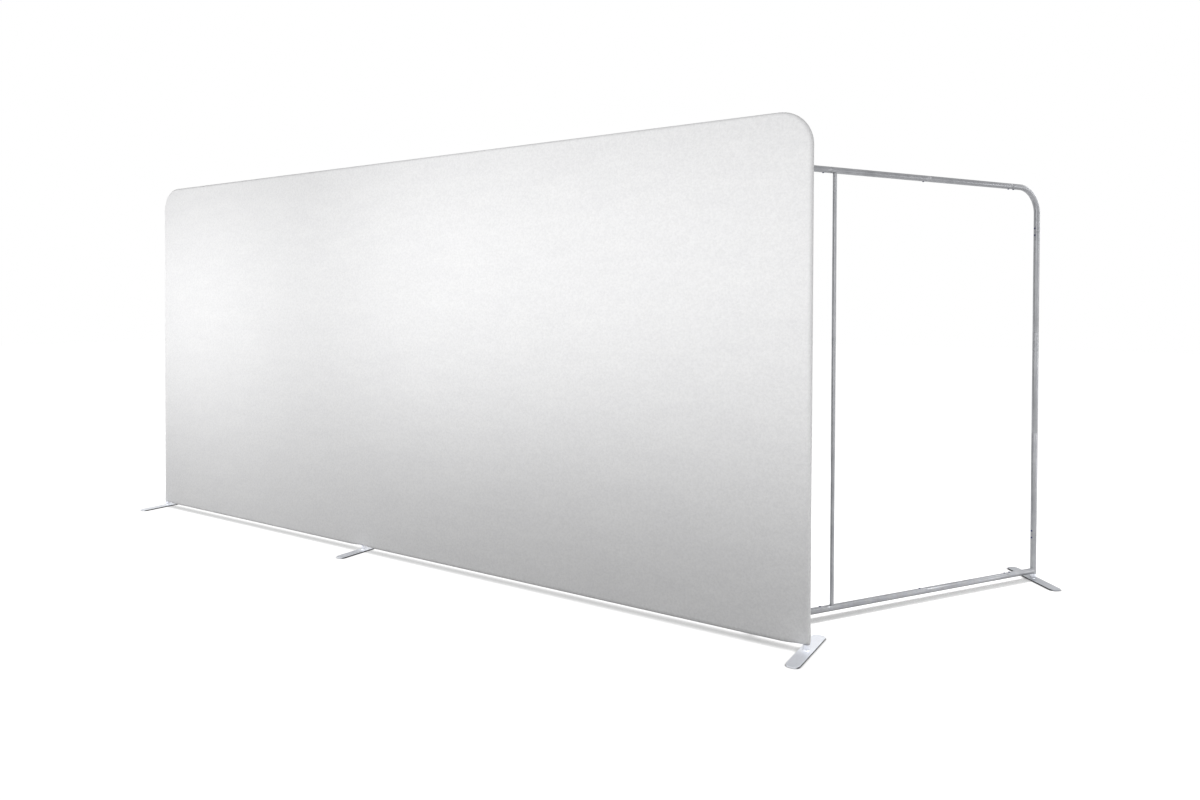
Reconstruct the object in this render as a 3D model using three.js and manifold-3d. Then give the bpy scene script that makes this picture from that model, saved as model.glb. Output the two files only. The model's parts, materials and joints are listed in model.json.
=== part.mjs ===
// A knock-down fabric display wall: aluminium tubes plug together into a
// rectangle, a stretch cover is pulled over it like a pillowcase and zipped
// along the back of the hem. A bare return frame swings on the wall's back.
// Millimetres, +Z up, front towards -Y, origin on the floor under the middle foot.
import * as THREE from 'three';
import { mergeVertices } from 'three/addons/utils/BufferGeometryUtils.js';
import Module from 'manifold-3d';

const wasm = await Module();
wasm.setup();

// ---- driving dimensions -------------------------------------------------
const wallLeft = 2066;            // middle foot to the cover's left edge
const wallRight = 2708;           // middle foot to the cover's right edge
const wallHeight = 2286;          // floor to the top of the cover
const coverCornerRadius = 150;    // outer radius of the cover's top corners
const returnHeight = 2109;        // floor to the top of the return frame
const returnRun = 1811;           // between the return frame's two post axes
const returnAngle = 56.75;        // degrees between the wall and the return frame
const returnInset = 289;          // cover's right edge to the return's inner post
const returnStandoff = 72;        // wall's centre plane to the return's inner post

const tubeRadius = 15;
const tubeWall = 1.6;
const tubeSides = 12;
const railUnderside = 31;         // floor to the underside of the bottom rails
const bendLeg = 200;              // post axis to the first seam of a rail
const topPostLeg = 245;           // top of the frame to the first post seam
const lowerPostLeg = 244;         // floor to the lowest post seam
const bendSteps = 8;
const holeSides = 8;

const spigotGap = 0.4;            // between a spigot and the bore around it
const spigotWall = 1.6;
const spigotReach = 60;
const seamGap = 0.3;              // between two tubes at a seam

const uprightRadius = 9.5;
const uprightSides = 8;
const uprightWall = 1.2;
const uprightPegRadius = 5;
const uprightPegWall = 1.5;
const uprightPegEnd = 1;          // between a peg's end and the far side of the tee's web
const uprightEndCap = 4;
const pegGap = 0.4;
const wallUprightLeft = 1030;     // middle foot to the left thin upright
const returnUpright = 448;        // inner post axis to the return's thin upright

const wallTopSeams = [-980, 130, 1320];
const wallLowerSeamLeft = -980;
const wallLowerSeamRight = 1320;
const middleTeeHalf = 95;
const returnFirstSeam = 419;      // inner post axis to the seam beside the upright
const returnSecondSeam = 1038;    // inner post axis to the next seam
const wallPostSeam = 1150;        // floor to the middle seam of the wall's posts
const returnPostSeams = [788, 1327];

const branchStep = 0.6;           // a branch is this much thinner than the tube it joins
const branchNeck = 30;            // post axis to the end of the thinner part
const socketWebBottom = 104;      // floor to the cap on the middle tee's socket
const socketWeb = 6;
const socketBack = 25;            // stub's axis to the blind end of a rail's bore
const footLength = 385;
const footWidth = 60;
const footThickness = 7;
const footCorner = 24;
const footEdge = 1.5;
const collarRadius = 19;          // foot of the cone that carries the post's end
const collarHeight = 8;
const stubGap = 0.6;              // between a foot's stub and the bore round it
const stubReach = 80;             // collar to the top of the stub
const returnFootTurn = -17;       // degrees off square to its rail

const buttonRadius = 4.6;
const buttonHoleGap = 0.5;
const buttonProud = 3;
const buttonTip = 1.4;
const buttonFlangeRadius = 5.4;
const buttonFlangeOuter = 9.3;    // tube axis to the outer face of the flange
const leafInner = 7.9;            // tube axis to the inner face of the spring leaf
const leafThickness = 0.8;
const leafWidth = 7;
const leafLength = 32;
const pairOffset = 18;            // seam to each button of a pair
const singleOffset = 40;          // seam to a single button

const fabricThickness = 1;
const coverGap = 0.8;             // between the tubes and the cover
const coverEdgeFlat = 0.4;        // flat strip round the middle of the cover's edge
const coverEdgeSteps = 3;
const coverArcSteps = 10;
const halfGap = 0.15;             // each half of the cover stops this far from the seam
const postHoleGap = 0.4;          // between a post and the hole in the hem round it

const zipBottom = 62;             // floor to the lower edge of the zip tape
const zipHeight = 22;
const zipEndInset = 70;           // cover's side edges to the ends of the zip
const chainHeight = 5;
const chainDepth = 2.5;
const sliderLength = 22;
const sliderHeight = 13;
const sliderDepth = 7;
const sliderClearance = 0.4;
const sliderRest = 30;            // left end of the zip to the slider's middle
const bridgeLegSpacing = 8;
const bridgeBar = 2;
const bridgeRise = 5.2;
const pullThickness = 2;
const pullWidth = 8.4;
const pullLength = 34;
const pullRod = 2;
const pullWindow = 8;
const pullWindowWidth = 5;

const clipHeights = [300, 1700];
const clipHeight = 30;
const clipWall = 3;
const clipGap = 0.4;
const clipArmWidth = 12;
const clipMouth = 100;            // degrees of each jaw that stay open
const clipArcSteps = 9;
const slitMargin = 1.5;

const glideTip = 8;               // radius of the glide's flat on the floor
const glideRise = 10;
const glidePlugReach = 60;

// ---- materials ----------------------------------------------------------
const tubeAluminium = { color: 0xc9cbd2, roughness: 0.32, metalness: 0.9 };
const footSteel = { color: 0xb9bbc0, roughness: 0.38, metalness: 0.85 };
const buttonBlue = { color: 0x20264e, roughness: 0.4, metalness: 0 };
const stretchFabric = { color: 0xeeeeee, roughness: 0.95, metalness: 0 };
const whitePlastic = { color: 0xe6e6e6, roughness: 0.5, metalness: 0 };
const greyNylon = { color: 0x9a9da3, roughness: 0.55, metalness: 0 };
const zincAlloy = { color: 0xd9dadd, roughness: 0.3, metalness: 0.8 };

// ---- worked out ---------------------------------------------------------
const coverDepth = tubeRadius + coverGap + fabricThickness;
const boreRadius = tubeRadius - tubeWall;
const spigotRadius = boreRadius - spigotGap;
const spigotBore = spigotRadius - spigotWall;
const postLeft = -wallLeft + coverDepth;
const postRight = wallRight - coverDepth;
const topRailAxis = wallHeight - coverDepth;
const lowerRailAxis = railUnderside + tubeRadius;
const bendRadius = coverCornerRadius - coverDepth;
const returnTopAxis = returnHeight - tubeRadius;
const socketWebTop = socketWebBottom + socketWeb;
const branchRadius = tubeRadius - branchStep;
const stubRadius = boreRadius - stubGap;
const collarTop = footThickness + collarHeight;
const postFoot = collarTop + seamGap;
const buttonHoleRadius = buttonRadius + buttonHoleGap;
const linkX = wallRight - returnInset;
const uprightPegReach = socketWeb - uprightPegEnd;

// ---- solids -------------------------------------------------------------
function toSolid(geometry) {
  const bare = geometry.index ? geometry.clone() : mergeVertices(geometry.clone());
  bare.deleteAttribute('normal');
  bare.deleteAttribute('uv');
  const merged = mergeVertices(bare, 1e-4);
  const mesh = new wasm.Mesh({
    numProp: 3,
    vertProperties: new Float32Array(merged.attributes.position.array),
    triVerts: new Uint32Array(merged.index.array),
  });
  return new wasm.Manifold(mesh);
}

function toGeometry(solid) {
  const mesh = solid.getMesh();
  const geometry = new THREE.BufferGeometry();
  const positions = new THREE.BufferAttribute(mesh.vertProperties, 3);
  geometry.setAttribute('position', positions);
  geometry.setIndex(new THREE.BufferAttribute(mesh.triVerts, 1));
  geometry.computeVertexNormals();
  return geometry;
}

function joined(first, ...others) {
  return toGeometry(others.reduce((sum, next) => sum.add(toSolid(next)), toSolid(first)));
}

function cut(body, ...tools) {
  return toGeometry(tools.reduce((rest, tool) => rest.subtract(toSolid(tool)), toSolid(body)));
}

function common(first, second) {
  return toGeometry(toSolid(first).intersect(toSolid(second)));
}

function block(x0, x1, y0, y1, z0, z1) {
  const box = new THREE.BoxGeometry(x1 - x0, y1 - y0, z1 - z0);
  return box.translate((x0 + x1) / 2, (y0 + y1) / 2, (z0 + z1) / 2);
}

// A round solid or ring along +Z from a profile of [radius, height] points.
function turned(profile, sides = tubeSides) {
  const points = profile.map(([radius, height]) => new THREE.Vector2(radius, height));
  const onAxis = profile[0][0] === 0;
  if (!onAxis) {
    points.push(points[0].clone());
  }
  return new THREE.LatheGeometry(points, sides).rotateX(Math.PI / 2);
}

function rod(radius, from, to, sides = tubeSides) {
  return turned([[0, from], [radius, from], [radius, to], [0, to]], sides);
}

const alongX = (geometry) => geometry.rotateY(Math.PI / 2);

function circle(radius, sides = tubeSides) {
  const points = [];
  for (let i = 0; i < sides; i += 1) {
    const angle = (i * 2 * Math.PI) / sides;
    points.push(new THREE.Vector2(radius * Math.cos(angle), radius * Math.sin(angle)));
  }
  return points;
}

// ---- tubes --------------------------------------------------------------
// A straight section: plain ends take a neighbour's spigot, male ends carry one.
function straightTube(length, maleStart, maleEnd) {
  const start = seamGap / 2;
  const end = length - seamGap / 2;
  const lower = maleStart
    ? [[boreRadius, spigotReach], [spigotBore, spigotReach], [spigotBore, -spigotReach],
      [spigotRadius, -spigotReach], [spigotRadius, start], [tubeRadius, start]]
    : [[boreRadius, start], [tubeRadius, start]];
  const upper = maleEnd
    ? [[tubeRadius, end], [spigotRadius, end], [spigotRadius, length + spigotReach],
      [spigotBore, length + spigotReach], [spigotBore, length - spigotReach],
      [boreRadius, length - spigotReach]]
    : [[tubeRadius, end], [boreRadius, end]];
  return turned([...lower, ...upper]);
}

// A solid round bar in the XZ plane through stations, each a centre and the
// direction from it towards the inside of the bend. A mitre's direction is longer.
function barThrough(stations, radius) {
  const positions = [];
  for (const { x, z, inX, inZ } of stations) {
    for (const { x: inward, y: across } of circle(radius)) {
      positions.push(x + inX * inward, across, z + inZ * inward);
    }
  }
  const faces = [];
  const last = (stations.length - 1) * tubeSides;
  for (let ring = 0; ring < last; ring += tubeSides) {
    for (let i = 0; i < tubeSides; i += 1) {
      const a = ring + i;
      const b = ring + ((i + 1) % tubeSides);
      faces.push(a, b, b + tubeSides, a, b + tubeSides, a + tubeSides);
    }
  }
  for (let i = 1; i + 1 < tubeSides; i += 1) {
    faces.push(0, i + 1, i, last, last + i, last + i + 1);
  }
  const geometry = new THREE.BufferGeometry();
  geometry.setAttribute('position', new THREE.Float32BufferAttribute(positions, 3));
  geometry.setIndex(faces);
  return facingOut(geometry);
}

// Turns a closed geometry's faces to point outwards.
function facingOut(geometry) {
  const { array: p } = geometry.attributes.position;
  const { array: index } = geometry.index;
  const a = new THREE.Vector3();
  const b = new THREE.Vector3();
  const c = new THREE.Vector3();
  let volume = 0;
  for (let i = 0; i < index.length; i += 3) {
    a.fromArray(p, index[i] * 3);
    b.fromArray(p, index[i + 1] * 3);
    c.fromArray(p, index[i + 2] * 3);
    volume += a.dot(b.cross(c));
  }
  if (volume < 0) {
    geometry.setIndex(Array.from(index).reverse());
  }
  return geometry;
}

// A quarter bend in the XZ plane: up a post leg, round, and along a rail leg.
function bendTube(side, postAxis, railAxis, legX, legZ) {
  function bar(radius, overrun) {
    const centreX = postAxis - side * bendRadius;
    const centreZ = railAxis - bendRadius;
    const stations = [{ x: postAxis, z: legZ + seamGap / 2 - overrun, inX: -side, inZ: 0 }];
    for (let i = 0; i <= bendSteps; i += 1) {
      const angle = (i / bendSteps) * (Math.PI / 2);
      const outX = side * Math.cos(angle);
      const outZ = Math.sin(angle);
      stations.push({
        x: centreX + bendRadius * outX,
        z: centreZ + bendRadius * outZ,
        inX: -outX,
        inZ: -outZ,
      });
    }
    const tip = legX + side * (seamGap / 2 - overrun);
    stations.push({ x: tip, z: railAxis, inX: 0, inZ: -1 });
    return barThrough(stations, radius);
  }
  return cut(bar(tubeRadius, 0), bar(boreRadius, 1));
}

// A lower corner: the post runs down to the foot's collar, and a slightly
// thinner branch leaves it for the rail, with a blind bore from its open end.
function lowerCorner(side, postAxis, legX, legZ) {
  const branchLength = Math.abs(postAxis - legX) - seamGap / 2;
  const branch = turned([
    [0, 0], [branchRadius, 0], [branchRadius, branchNeck], [tubeRadius, branchNeck],
    [tubeRadius, branchLength], [0, branchLength],
  ]);
  const bore = rod(boreRadius, socketBack, branchLength + 1);
  const placed = (geometry) => geometry
    .rotateY((-side * Math.PI) / 2)
    .translate(postAxis, 0, lowerRailAxis);
  const post = rod(tubeRadius, postFoot, legZ - seamGap / 2).translate(postAxis, 0, 0);
  return cut(
    joined(post, placed(branch)),
    placed(bore),
    rod(boreRadius, 0, legZ + 1).translate(postAxis, 0, 0),
  );
}

// The tee over the middle foot: rails plug in at both sides, the stub from
// below, and the thin upright's peg from above.
function middleTee() {
  const half = middleTeeHalf - seamGap / 2;
  const body = joined(
    alongX(rod(tubeRadius, -half, half)).translate(0, 0, lowerRailAxis),
    rod(branchRadius, postFoot, socketWebTop),
  );
  const railBores = [-1, 1].map((side) => {
    const ends = [side * (half + 1), side * socketBack].sort((a, b) => a - b);
    return alongX(rod(boreRadius, ends[0], ends[1])).translate(0, 0, lowerRailAxis);
  });
  return cut(
    body,
    ...railBores,
    rod(boreRadius, 0, socketWebBottom),
    rod(uprightPegRadius + pegGap, socketWebBottom - 1, socketWebTop + 1, uprightSides),
  );
}

function thinUpright(bottom, top) {
  const from = bottom + seamGap;
  const to = top - seamGap;
  const bore = uprightPegRadius - uprightPegWall;
  const inner = uprightRadius - uprightWall;
  return turned([
    [bore, from - uprightPegReach], [uprightPegRadius, from - uprightPegReach],
    [uprightPegRadius, from], [uprightRadius, from],
    [uprightRadius, to], [uprightPegRadius, to],
    [uprightPegRadius, to + uprightPegReach], [bore, to + uprightPegReach],
    [bore, to - uprightEndCap], [inner, to - uprightEndCap],
    [inner, from + uprightEndCap], [bore, from + uprightEndCap],
  ], uprightSides);
}

function footPlate() {
  const x = footWidth / 2 - footEdge;
  const y = footLength / 2 - footEdge;
  const r = footCorner - footEdge;
  const outline = new THREE.Shape();
  outline.absarc(x - r, y - r, r, 0, Math.PI / 2);
  outline.absarc(-x + r, y - r, r, Math.PI / 2, Math.PI);
  outline.absarc(-x + r, -y + r, r, Math.PI, 1.5 * Math.PI);
  outline.absarc(x - r, -y + r, r, 1.5 * Math.PI, 2 * Math.PI);
  const plate = new THREE.ExtrudeGeometry(outline, {
    depth: footThickness - footEdge,
    bevelThickness: footEdge,
    bevelSize: footEdge,
    bevelSegments: 1,
    curveSegments: 3,
  });
  const upper = block(-footWidth, footWidth, -footLength, footLength, 0, footThickness);
  const stub = turned([
    [0, footThickness / 2], [collarRadius, footThickness / 2],
    [collarRadius, footThickness + footEdge], [tubeRadius, collarTop],
    [stubRadius, collarTop], [stubRadius, collarTop + stubReach],
    [0, collarTop + stubReach],
  ]);
  return joined(common(plate, upper), stub);
}

function floorGlide() {
  return turned([
    [0, 0], [glideTip, 0], [tubeRadius, glideRise],
    [tubeRadius, collarTop], [stubRadius, collarTop],
    [stubRadius, collarTop + glidePlugReach], [0, collarTop + glidePlugReach],
  ]);
}

// A snap button with its spring leaf, pointing along +Z from the tube's axis.
function snapButton() {
  const crown = tubeRadius + buttonProud;
  const pin = turned([
    [0, leafInner], [buttonFlangeRadius, leafInner],
    [buttonFlangeRadius, buttonFlangeOuter], [buttonRadius, buttonFlangeOuter],
    [buttonRadius, crown - buttonTip], [buttonRadius - buttonTip, crown], [0, crown],
  ], holeSides);
  const leaf = block(
    -leafLength / 2, leafLength / 2, -leafWidth / 2, leafWidth / 2,
    leafInner, leafInner + leafThickness,
  );
  return joined(pin, leaf);
}

// ---- the scene graph ----------------------------------------------------
const display = new THREE.Group();
const wall = new THREE.Group();
const returnFrame = new THREE.Group();
returnFrame.position.set(linkX, returnStandoff, 0);
returnFrame.rotation.z = THREE.MathUtils.degToRad(returnAngle);
display.add(wall, returnFrame);

function addPart(parent, name, geometry, finish) {
  const mesh = new THREE.Mesh(geometry, new THREE.MeshStandardMaterial(finish));
  mesh.name = name;
  parent.add(mesh);
  return mesh;
}

// Drills holes for buttons and pegs through one side of a tube's wall.
function withHoles(geometry, holes) {
  if (holes.length === 0) {
    return geometry;
  }
  const drills = holes.map(({ at, radius, toward }) => {
    const drill = rod(radius, 0, tubeRadius * 2, holeSides);
    aim(drill, toward);
    return drill.translate(at.x, at.y, at.z);
  });
  return cut(geometry, ...drills);
}

// Turns a shape that points along +Z to point along one of the frame's axes.
function aim(geometry, toward) {
  const turns = {
    up: () => geometry,
    down: () => geometry.rotateX(Math.PI),
    right: () => geometry.rotateY(Math.PI / 2),
    left: () => geometry.rotateY(-Math.PI / 2),
  };
  return turns[toward]();
}

// One upright rectangle of tubes, in its own XZ plane.
function addFrame(parent, prefix, plan) {
  const { left, right, topAxis, topSeams, lowerRails, postSeams, uprights, buttons } = plan;
  const holes = [
    ...buttons.map(({ at, toward }) => ({ at, toward, radius: buttonHoleRadius })),
    ...uprights.flatMap(({ x, onTee }) => {
      const radius = uprightPegRadius + pegGap;
      const upper = { at: new THREE.Vector3(x, 0, topAxis), toward: 'down', radius };
      const lower = { at: new THREE.Vector3(x, 0, lowerRailAxis), toward: 'up', radius };
      return onTee ? [upper] : [upper, lower];
    }),
  ];
  const near = (box) => holes.filter(({ at }) => box.containsPoint(at));
  const region = (x0, x1, z0, z1) => new THREE.Box3(
    new THREE.Vector3(Math.min(x0, x1), -1, z0),
    new THREE.Vector3(Math.max(x0, x1), 1, z1),
  );

  function addRail(name, from, to, axis, maleStart, maleEnd) {
    const tube = alongX(straightTube(to - from, maleStart, maleEnd)).translate(from, 0, axis);
    const reachFrom = from - (maleStart ? spigotReach : 0);
    const reachTo = to + (maleEnd ? spigotReach : 0);
    const box = region(reachFrom, reachTo, axis - 1, axis + 1);
    addPart(parent, `${prefix}${name}`, withHoles(tube, near(box)), tubeAluminium);
  }

  function addPost(name, x, from, to, maleStart, maleEnd) {
    const tube = straightTube(to - from, maleStart, maleEnd).translate(x, 0, from);
    const reachFrom = from - (maleStart ? spigotReach : 0);
    const reachTo = to + (maleEnd ? spigotReach : 0);
    const box = region(x - 1, x + 1, reachFrom, reachTo);
    addPart(parent, `${prefix}${name}`, withHoles(tube, near(box)), tubeAluminium);
  }

  const topLeg = plan.height - topPostLeg;
  const sides = [
    { label: plan.leftName, side: -1, post: left, leg: left + plan.leftLeg },
    { label: plan.rightName, side: 1, post: right, leg: right - plan.rightLeg },
  ];
  for (const { label, side, post, leg } of sides) {
    const bend = bendTube(side, post, topAxis, leg, topLeg);
    const bendBox = region(leg, post, topLeg, topAxis + 1);
    addPart(parent, `${prefix}${label}_top_bend`, withHoles(bend, near(bendBox)), tubeAluminium);
    const corner = lowerCorner(side, post, leg, lowerPostLeg);
    const cornerBox = region(leg, post, lowerRailAxis - 1, lowerPostLeg);
    const cornerGeometry = withHoles(corner, near(cornerBox));
    addPart(parent, `${prefix}${label}_lower_corner`, cornerGeometry, tubeAluminium);
    const stops = [lowerPostLeg, ...postSeams, topLeg];
    for (let i = 0; i + 1 < stops.length; i += 1) {
      addPost(`${label}_post_${i + 1}`, post, stops[i], stops[i + 1], i === 0, true);
    }
  }

  const topStops = [left + plan.leftLeg, ...topSeams, right - plan.rightLeg];
  for (let i = 0; i + 1 < topStops.length; i += 1) {
    const last = i + 2 === topStops.length;
    addRail(`top_rail_${i + 1}`, topStops[i], topStops[i + 1], topAxis, true, last);
  }
  lowerRails.forEach(({ from, to, maleStart, maleEnd }, i) => {
    addRail(`lower_rail_${i + 1}`, from, to, lowerRailAxis, maleStart, maleEnd);
  });

  for (const { name, x, onTee } of uprights) {
    const bottom = onTee ? socketWebTop : lowerRailAxis + tubeRadius;
    const upright = thinUpright(bottom, topAxis - tubeRadius).translate(x, 0, 0);
    addPart(parent, name, upright, tubeAluminium);
  }

  for (const { name, at, toward, along } of buttons) {
    const button = snapButton();
    if (along === 'post') {
      button.rotateZ(Math.PI / 2);
    }
    aim(button, toward);
    if (along === 'post') {
      button.rotateX(Math.PI / 2);
    }
    button.translate(at.x, at.y, at.z);
    addPart(parent, name, button, buttonBlue);
  }
}

// ---- the wall's frame ---------------------------------------------------
addFrame(wall, '', {
  left: postLeft,
  right: postRight,
  leftName: 'left',
  rightName: 'right',
  leftLeg: bendLeg,
  rightLeg: bendLeg,
  height: wallHeight - coverDepth + tubeRadius,
  topAxis: topRailAxis,
  topSeams: wallTopSeams,
  lowerRails: [
    { from: postLeft + bendLeg, to: wallLowerSeamLeft, maleStart: true, maleEnd: true },
    { from: wallLowerSeamLeft, to: -middleTeeHalf, maleStart: false, maleEnd: true },
    { from: middleTeeHalf, to: wallLowerSeamRight, maleStart: true, maleEnd: false },
    { from: wallLowerSeamRight, to: postRight - bendLeg, maleStart: true, maleEnd: true },
  ],
  postSeams: [wallPostSeam],
  uprights: [
    { name: 'left_thin_upright', x: -wallUprightLeft },
    { name: 'middle_thin_upright', x: 0, onTee: true },
    { name: 'right_thin_upright', x: linkX },
  ],
  buttons: [],
});
addPart(wall, 'middle_tee', middleTee(), tubeAluminium);
for (const [name, x] of [['left', postLeft], ['middle', 0], ['right', postRight]]) {
  const foot = addPart(wall, `${name}_foot`, footPlate(), footSteel);
  foot.position.x = x;
}

// ---- the return frame ---------------------------------------------------
const returnOuterSeam = returnRun - bendLeg;
const returnTopLeg = returnHeight - topPostLeg;

function pairOf(name, seam, axis, toward, along) {
  return [-1, 1].map((side, i) => {
    const offset = seam + side * pairOffset;
    const at = along === 'post'
      ? new THREE.Vector3(axis, 0, offset)
      : new THREE.Vector3(offset, 0, axis);
    return { name: `${name}_${i + 1}`, at, toward, along };
  });
}

function single(name, x, z, toward) {
  return { name, at: new THREE.Vector3(x, 0, z), toward, along: 'rail' };
}

addFrame(returnFrame, 'return_', {
  left: 0,
  right: returnRun,
  leftName: 'inner',
  rightName: 'outer',
  leftLeg: returnFirstSeam,
  rightLeg: bendLeg,
  height: returnHeight,
  topAxis: returnTopAxis,
  topSeams: [returnSecondSeam],
  lowerRails: [
    { from: returnFirstSeam, to: returnSecondSeam, maleStart: true, maleEnd: false },
    { from: returnSecondSeam, to: returnOuterSeam, maleStart: true, maleEnd: true },
  ],
  postSeams: returnPostSeams,
  uprights: [{ name: 'return_thin_upright', x: returnUpright }],
  buttons: [
    ...pairOf('button_top_corner', returnOuterSeam, returnTopAxis, 'down', 'rail'),
    ...pairOf('button_lower_corner', returnOuterSeam, lowerRailAxis, 'up', 'rail'),
    ...pairOf('button_post_top', returnTopLeg, returnRun, 'left', 'post'),
    ...pairOf('button_post_foot', lowerPostLeg, returnRun, 'left', 'post'),
    single('button_top_rail_outer', returnSecondSeam - singleOffset, returnTopAxis, 'down'),
    single('button_top_rail_inner', returnFirstSeam - singleOffset, returnTopAxis, 'down'),
    single('button_lower_rail_outer', returnSecondSeam - singleOffset, lowerRailAxis, 'up'),
    single('button_lower_rail_inner', returnFirstSeam - singleOffset, lowerRailAxis, 'up'),
  ],
});
const returnFoot = addPart(returnFrame, 'return_foot', footPlate(), footSteel);
returnFoot.position.x = returnRun;
returnFoot.rotation.z = THREE.MathUtils.degToRad(returnFootTurn);
addPart(returnFrame, 'return_floor_glide', floorGlide(), greyNylon);

// ---- link clips ---------------------------------------------------------
// A clip has a small jaw round the wall's thin upright and a large jaw round
// the return's inner post, joined by an arm that passes through the cover.
function jaw(centreY, inner, mouthToward) {
  const open = THREE.MathUtils.degToRad(clipMouth) / 2;
  const start = mouthToward + open;
  const end = mouthToward + 2 * Math.PI - open;
  const outline = new THREE.Shape();
  outline.absarc(0, centreY, inner + clipWall, start, end, false);
  outline.absarc(0, centreY, inner, end, start, true);
  return new THREE.ExtrudeGeometry(outline, {
    depth: clipHeight, bevelEnabled: false, curveSegments: clipArcSteps,
  });
}

function linkClip() {
  const small = uprightRadius + clipGap;
  const large = tubeRadius + clipGap;
  const arm = block(
    -clipArmWidth / 2, clipArmWidth / 2,
    small + clipWall / 2, returnStandoff - large - clipWall / 2, 0, clipHeight,
  );
  return joined(jaw(0, small, -Math.PI / 2), jaw(returnStandoff, large, Math.PI / 2), arm);
}

['link_clip_lower', 'link_clip_upper'].forEach((name, i) => {
  const clip = addPart(wall, name, linkClip(), greyNylon);
  clip.position.set(linkX, 0, clipHeights[i]);
});

// ---- the cover ----------------------------------------------------------
// The outline runs along the tubes' axes; the rounded edge grows out from it.
function coverSolid(depth) {
  const left = postLeft;
  const right = postRight;
  const outline = new THREE.Shape();
  outline.moveTo(left, lowerRailAxis);
  outline.lineTo(right, lowerRailAxis);
  outline.lineTo(right, topRailAxis - bendRadius);
  outline.absarc(right - bendRadius, topRailAxis - bendRadius, bendRadius, 0, Math.PI / 2);
  outline.lineTo(left + bendRadius, topRailAxis);
  outline.absarc(left + bendRadius, topRailAxis - bendRadius, bendRadius, Math.PI / 2, Math.PI);
  const edge = depth - coverEdgeFlat / 2;
  const pillow = new THREE.ExtrudeGeometry(outline, {
    depth: coverEdgeFlat,
    bevelThickness: edge,
    bevelSize: depth,
    bevelSegments: coverEdgeSteps,
    curveSegments: coverArcSteps,
  });
  return pillow.translate(0, 0, -coverEdgeFlat / 2).rotateX(Math.PI / 2);
}

const zipTop = zipBottom + zipHeight;
const zipLeft = -wallLeft + zipEndInset;
const zipRight = wallRight - zipEndInset;
const coverShell = toSolid(coverSolid(coverDepth)).subtract(
  toSolid(coverSolid(coverDepth - fabricThickness)),
);
const beyond = coverDepth * 2;
const spanLeft = -wallLeft - beyond;
const spanRight = wallRight + beyond;

function frontPanel() {
  const frontSide = block(spanLeft, spanRight, -beyond, -halfGap, 0, wallHeight + beyond);
  const hem = block(spanLeft, spanRight, -beyond, beyond, 0, zipBottom - seamGap);
  const postHoles = [postLeft, 0, postRight].map((x) => (
    rod(tubeRadius + postHoleGap, 0, lowerRailAxis).translate(x, 0, 0)
  ));
  return cut(toGeometry(coverShell.intersect(toSolid(joined(frontSide, hem)))), ...postHoles);
}

function backPanel() {
  const backSide = block(spanLeft, spanRight, halfGap, beyond, zipBottom, wallHeight + beyond);
  const overZip = block(
    zipLeft - seamGap, zipRight + seamGap, 0, beyond, 0, zipTop + seamGap,
  );
  const slitHalf = clipArmWidth / 2 + slitMargin;
  const slits = clipHeights.map((height) => block(
    linkX - slitHalf, linkX + slitHalf, 0, beyond,
    height - slitMargin, height + clipHeight + slitMargin,
  ));
  return cut(toGeometry(coverShell.intersect(toSolid(backSide))), overZip, ...slits);
}

addPart(wall, 'cover_front_panel', frontPanel(), stretchFabric);
addPart(wall, 'cover_back_panel', backPanel(), stretchFabric);

// ---- the zip ------------------------------------------------------------
const zipMiddle = zipBottom + zipHeight / 2;
const tapeInner = coverDepth - fabricThickness;

function zipTape() {
  const low = zipMiddle - chainHeight / 2;
  const high = zipMiddle + chainHeight / 2;
  const section = new THREE.Shape([
    [tapeInner, zipBottom], [coverDepth, zipBottom], [coverDepth, low],
    [coverDepth + chainDepth, low], [coverDepth + chainDepth, high],
    [coverDepth, high], [coverDepth, zipTop], [tapeInner, zipTop],
  ].map(([y, z]) => new THREE.Vector2(y, z)));
  const strip = new THREE.ExtrudeGeometry(section, {
    depth: zipRight - zipLeft, bevelEnabled: false,
  });
  const upright = strip.rotateY(Math.PI / 2).rotateX(Math.PI / 2);
  return upright.translate(zipLeft, 0, 0);
}

const sliderX = zipLeft + sliderRest;
const sliderInner = coverDepth + seamGap;
const sliderFace = sliderInner + sliderDepth;
const pullAxisY = sliderFace + bridgeRise / 2;

function zipSlider() {
  const half = sliderLength / 2;
  const low = zipMiddle - sliderHeight / 2;
  const high = zipMiddle + sliderHeight / 2;
  const channel = chainHeight / 2 + sliderClearance;
  const body = cut(
    block(-half, half, sliderInner, sliderFace, low, high),
    block(
      -half - 1, half + 1, sliderInner - 1, coverDepth + chainDepth + sliderClearance,
      zipMiddle - channel, zipMiddle + channel,
    ),
  );
  const outX = bridgeLegSpacing / 2 + bridgeBar;
  const z0 = zipMiddle - bridgeBar / 2;
  const z1 = zipMiddle + bridgeBar / 2;
  const arch = cut(
    block(-outX, outX, sliderFace - 1, sliderFace + bridgeRise + bridgeBar, z0, z1),
    block(-bridgeLegSpacing / 2, bridgeLegSpacing / 2,
      sliderFace, sliderFace + bridgeRise, z0 - 1, z1 + 1),
  );
  return joined(body, arch);
}

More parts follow.
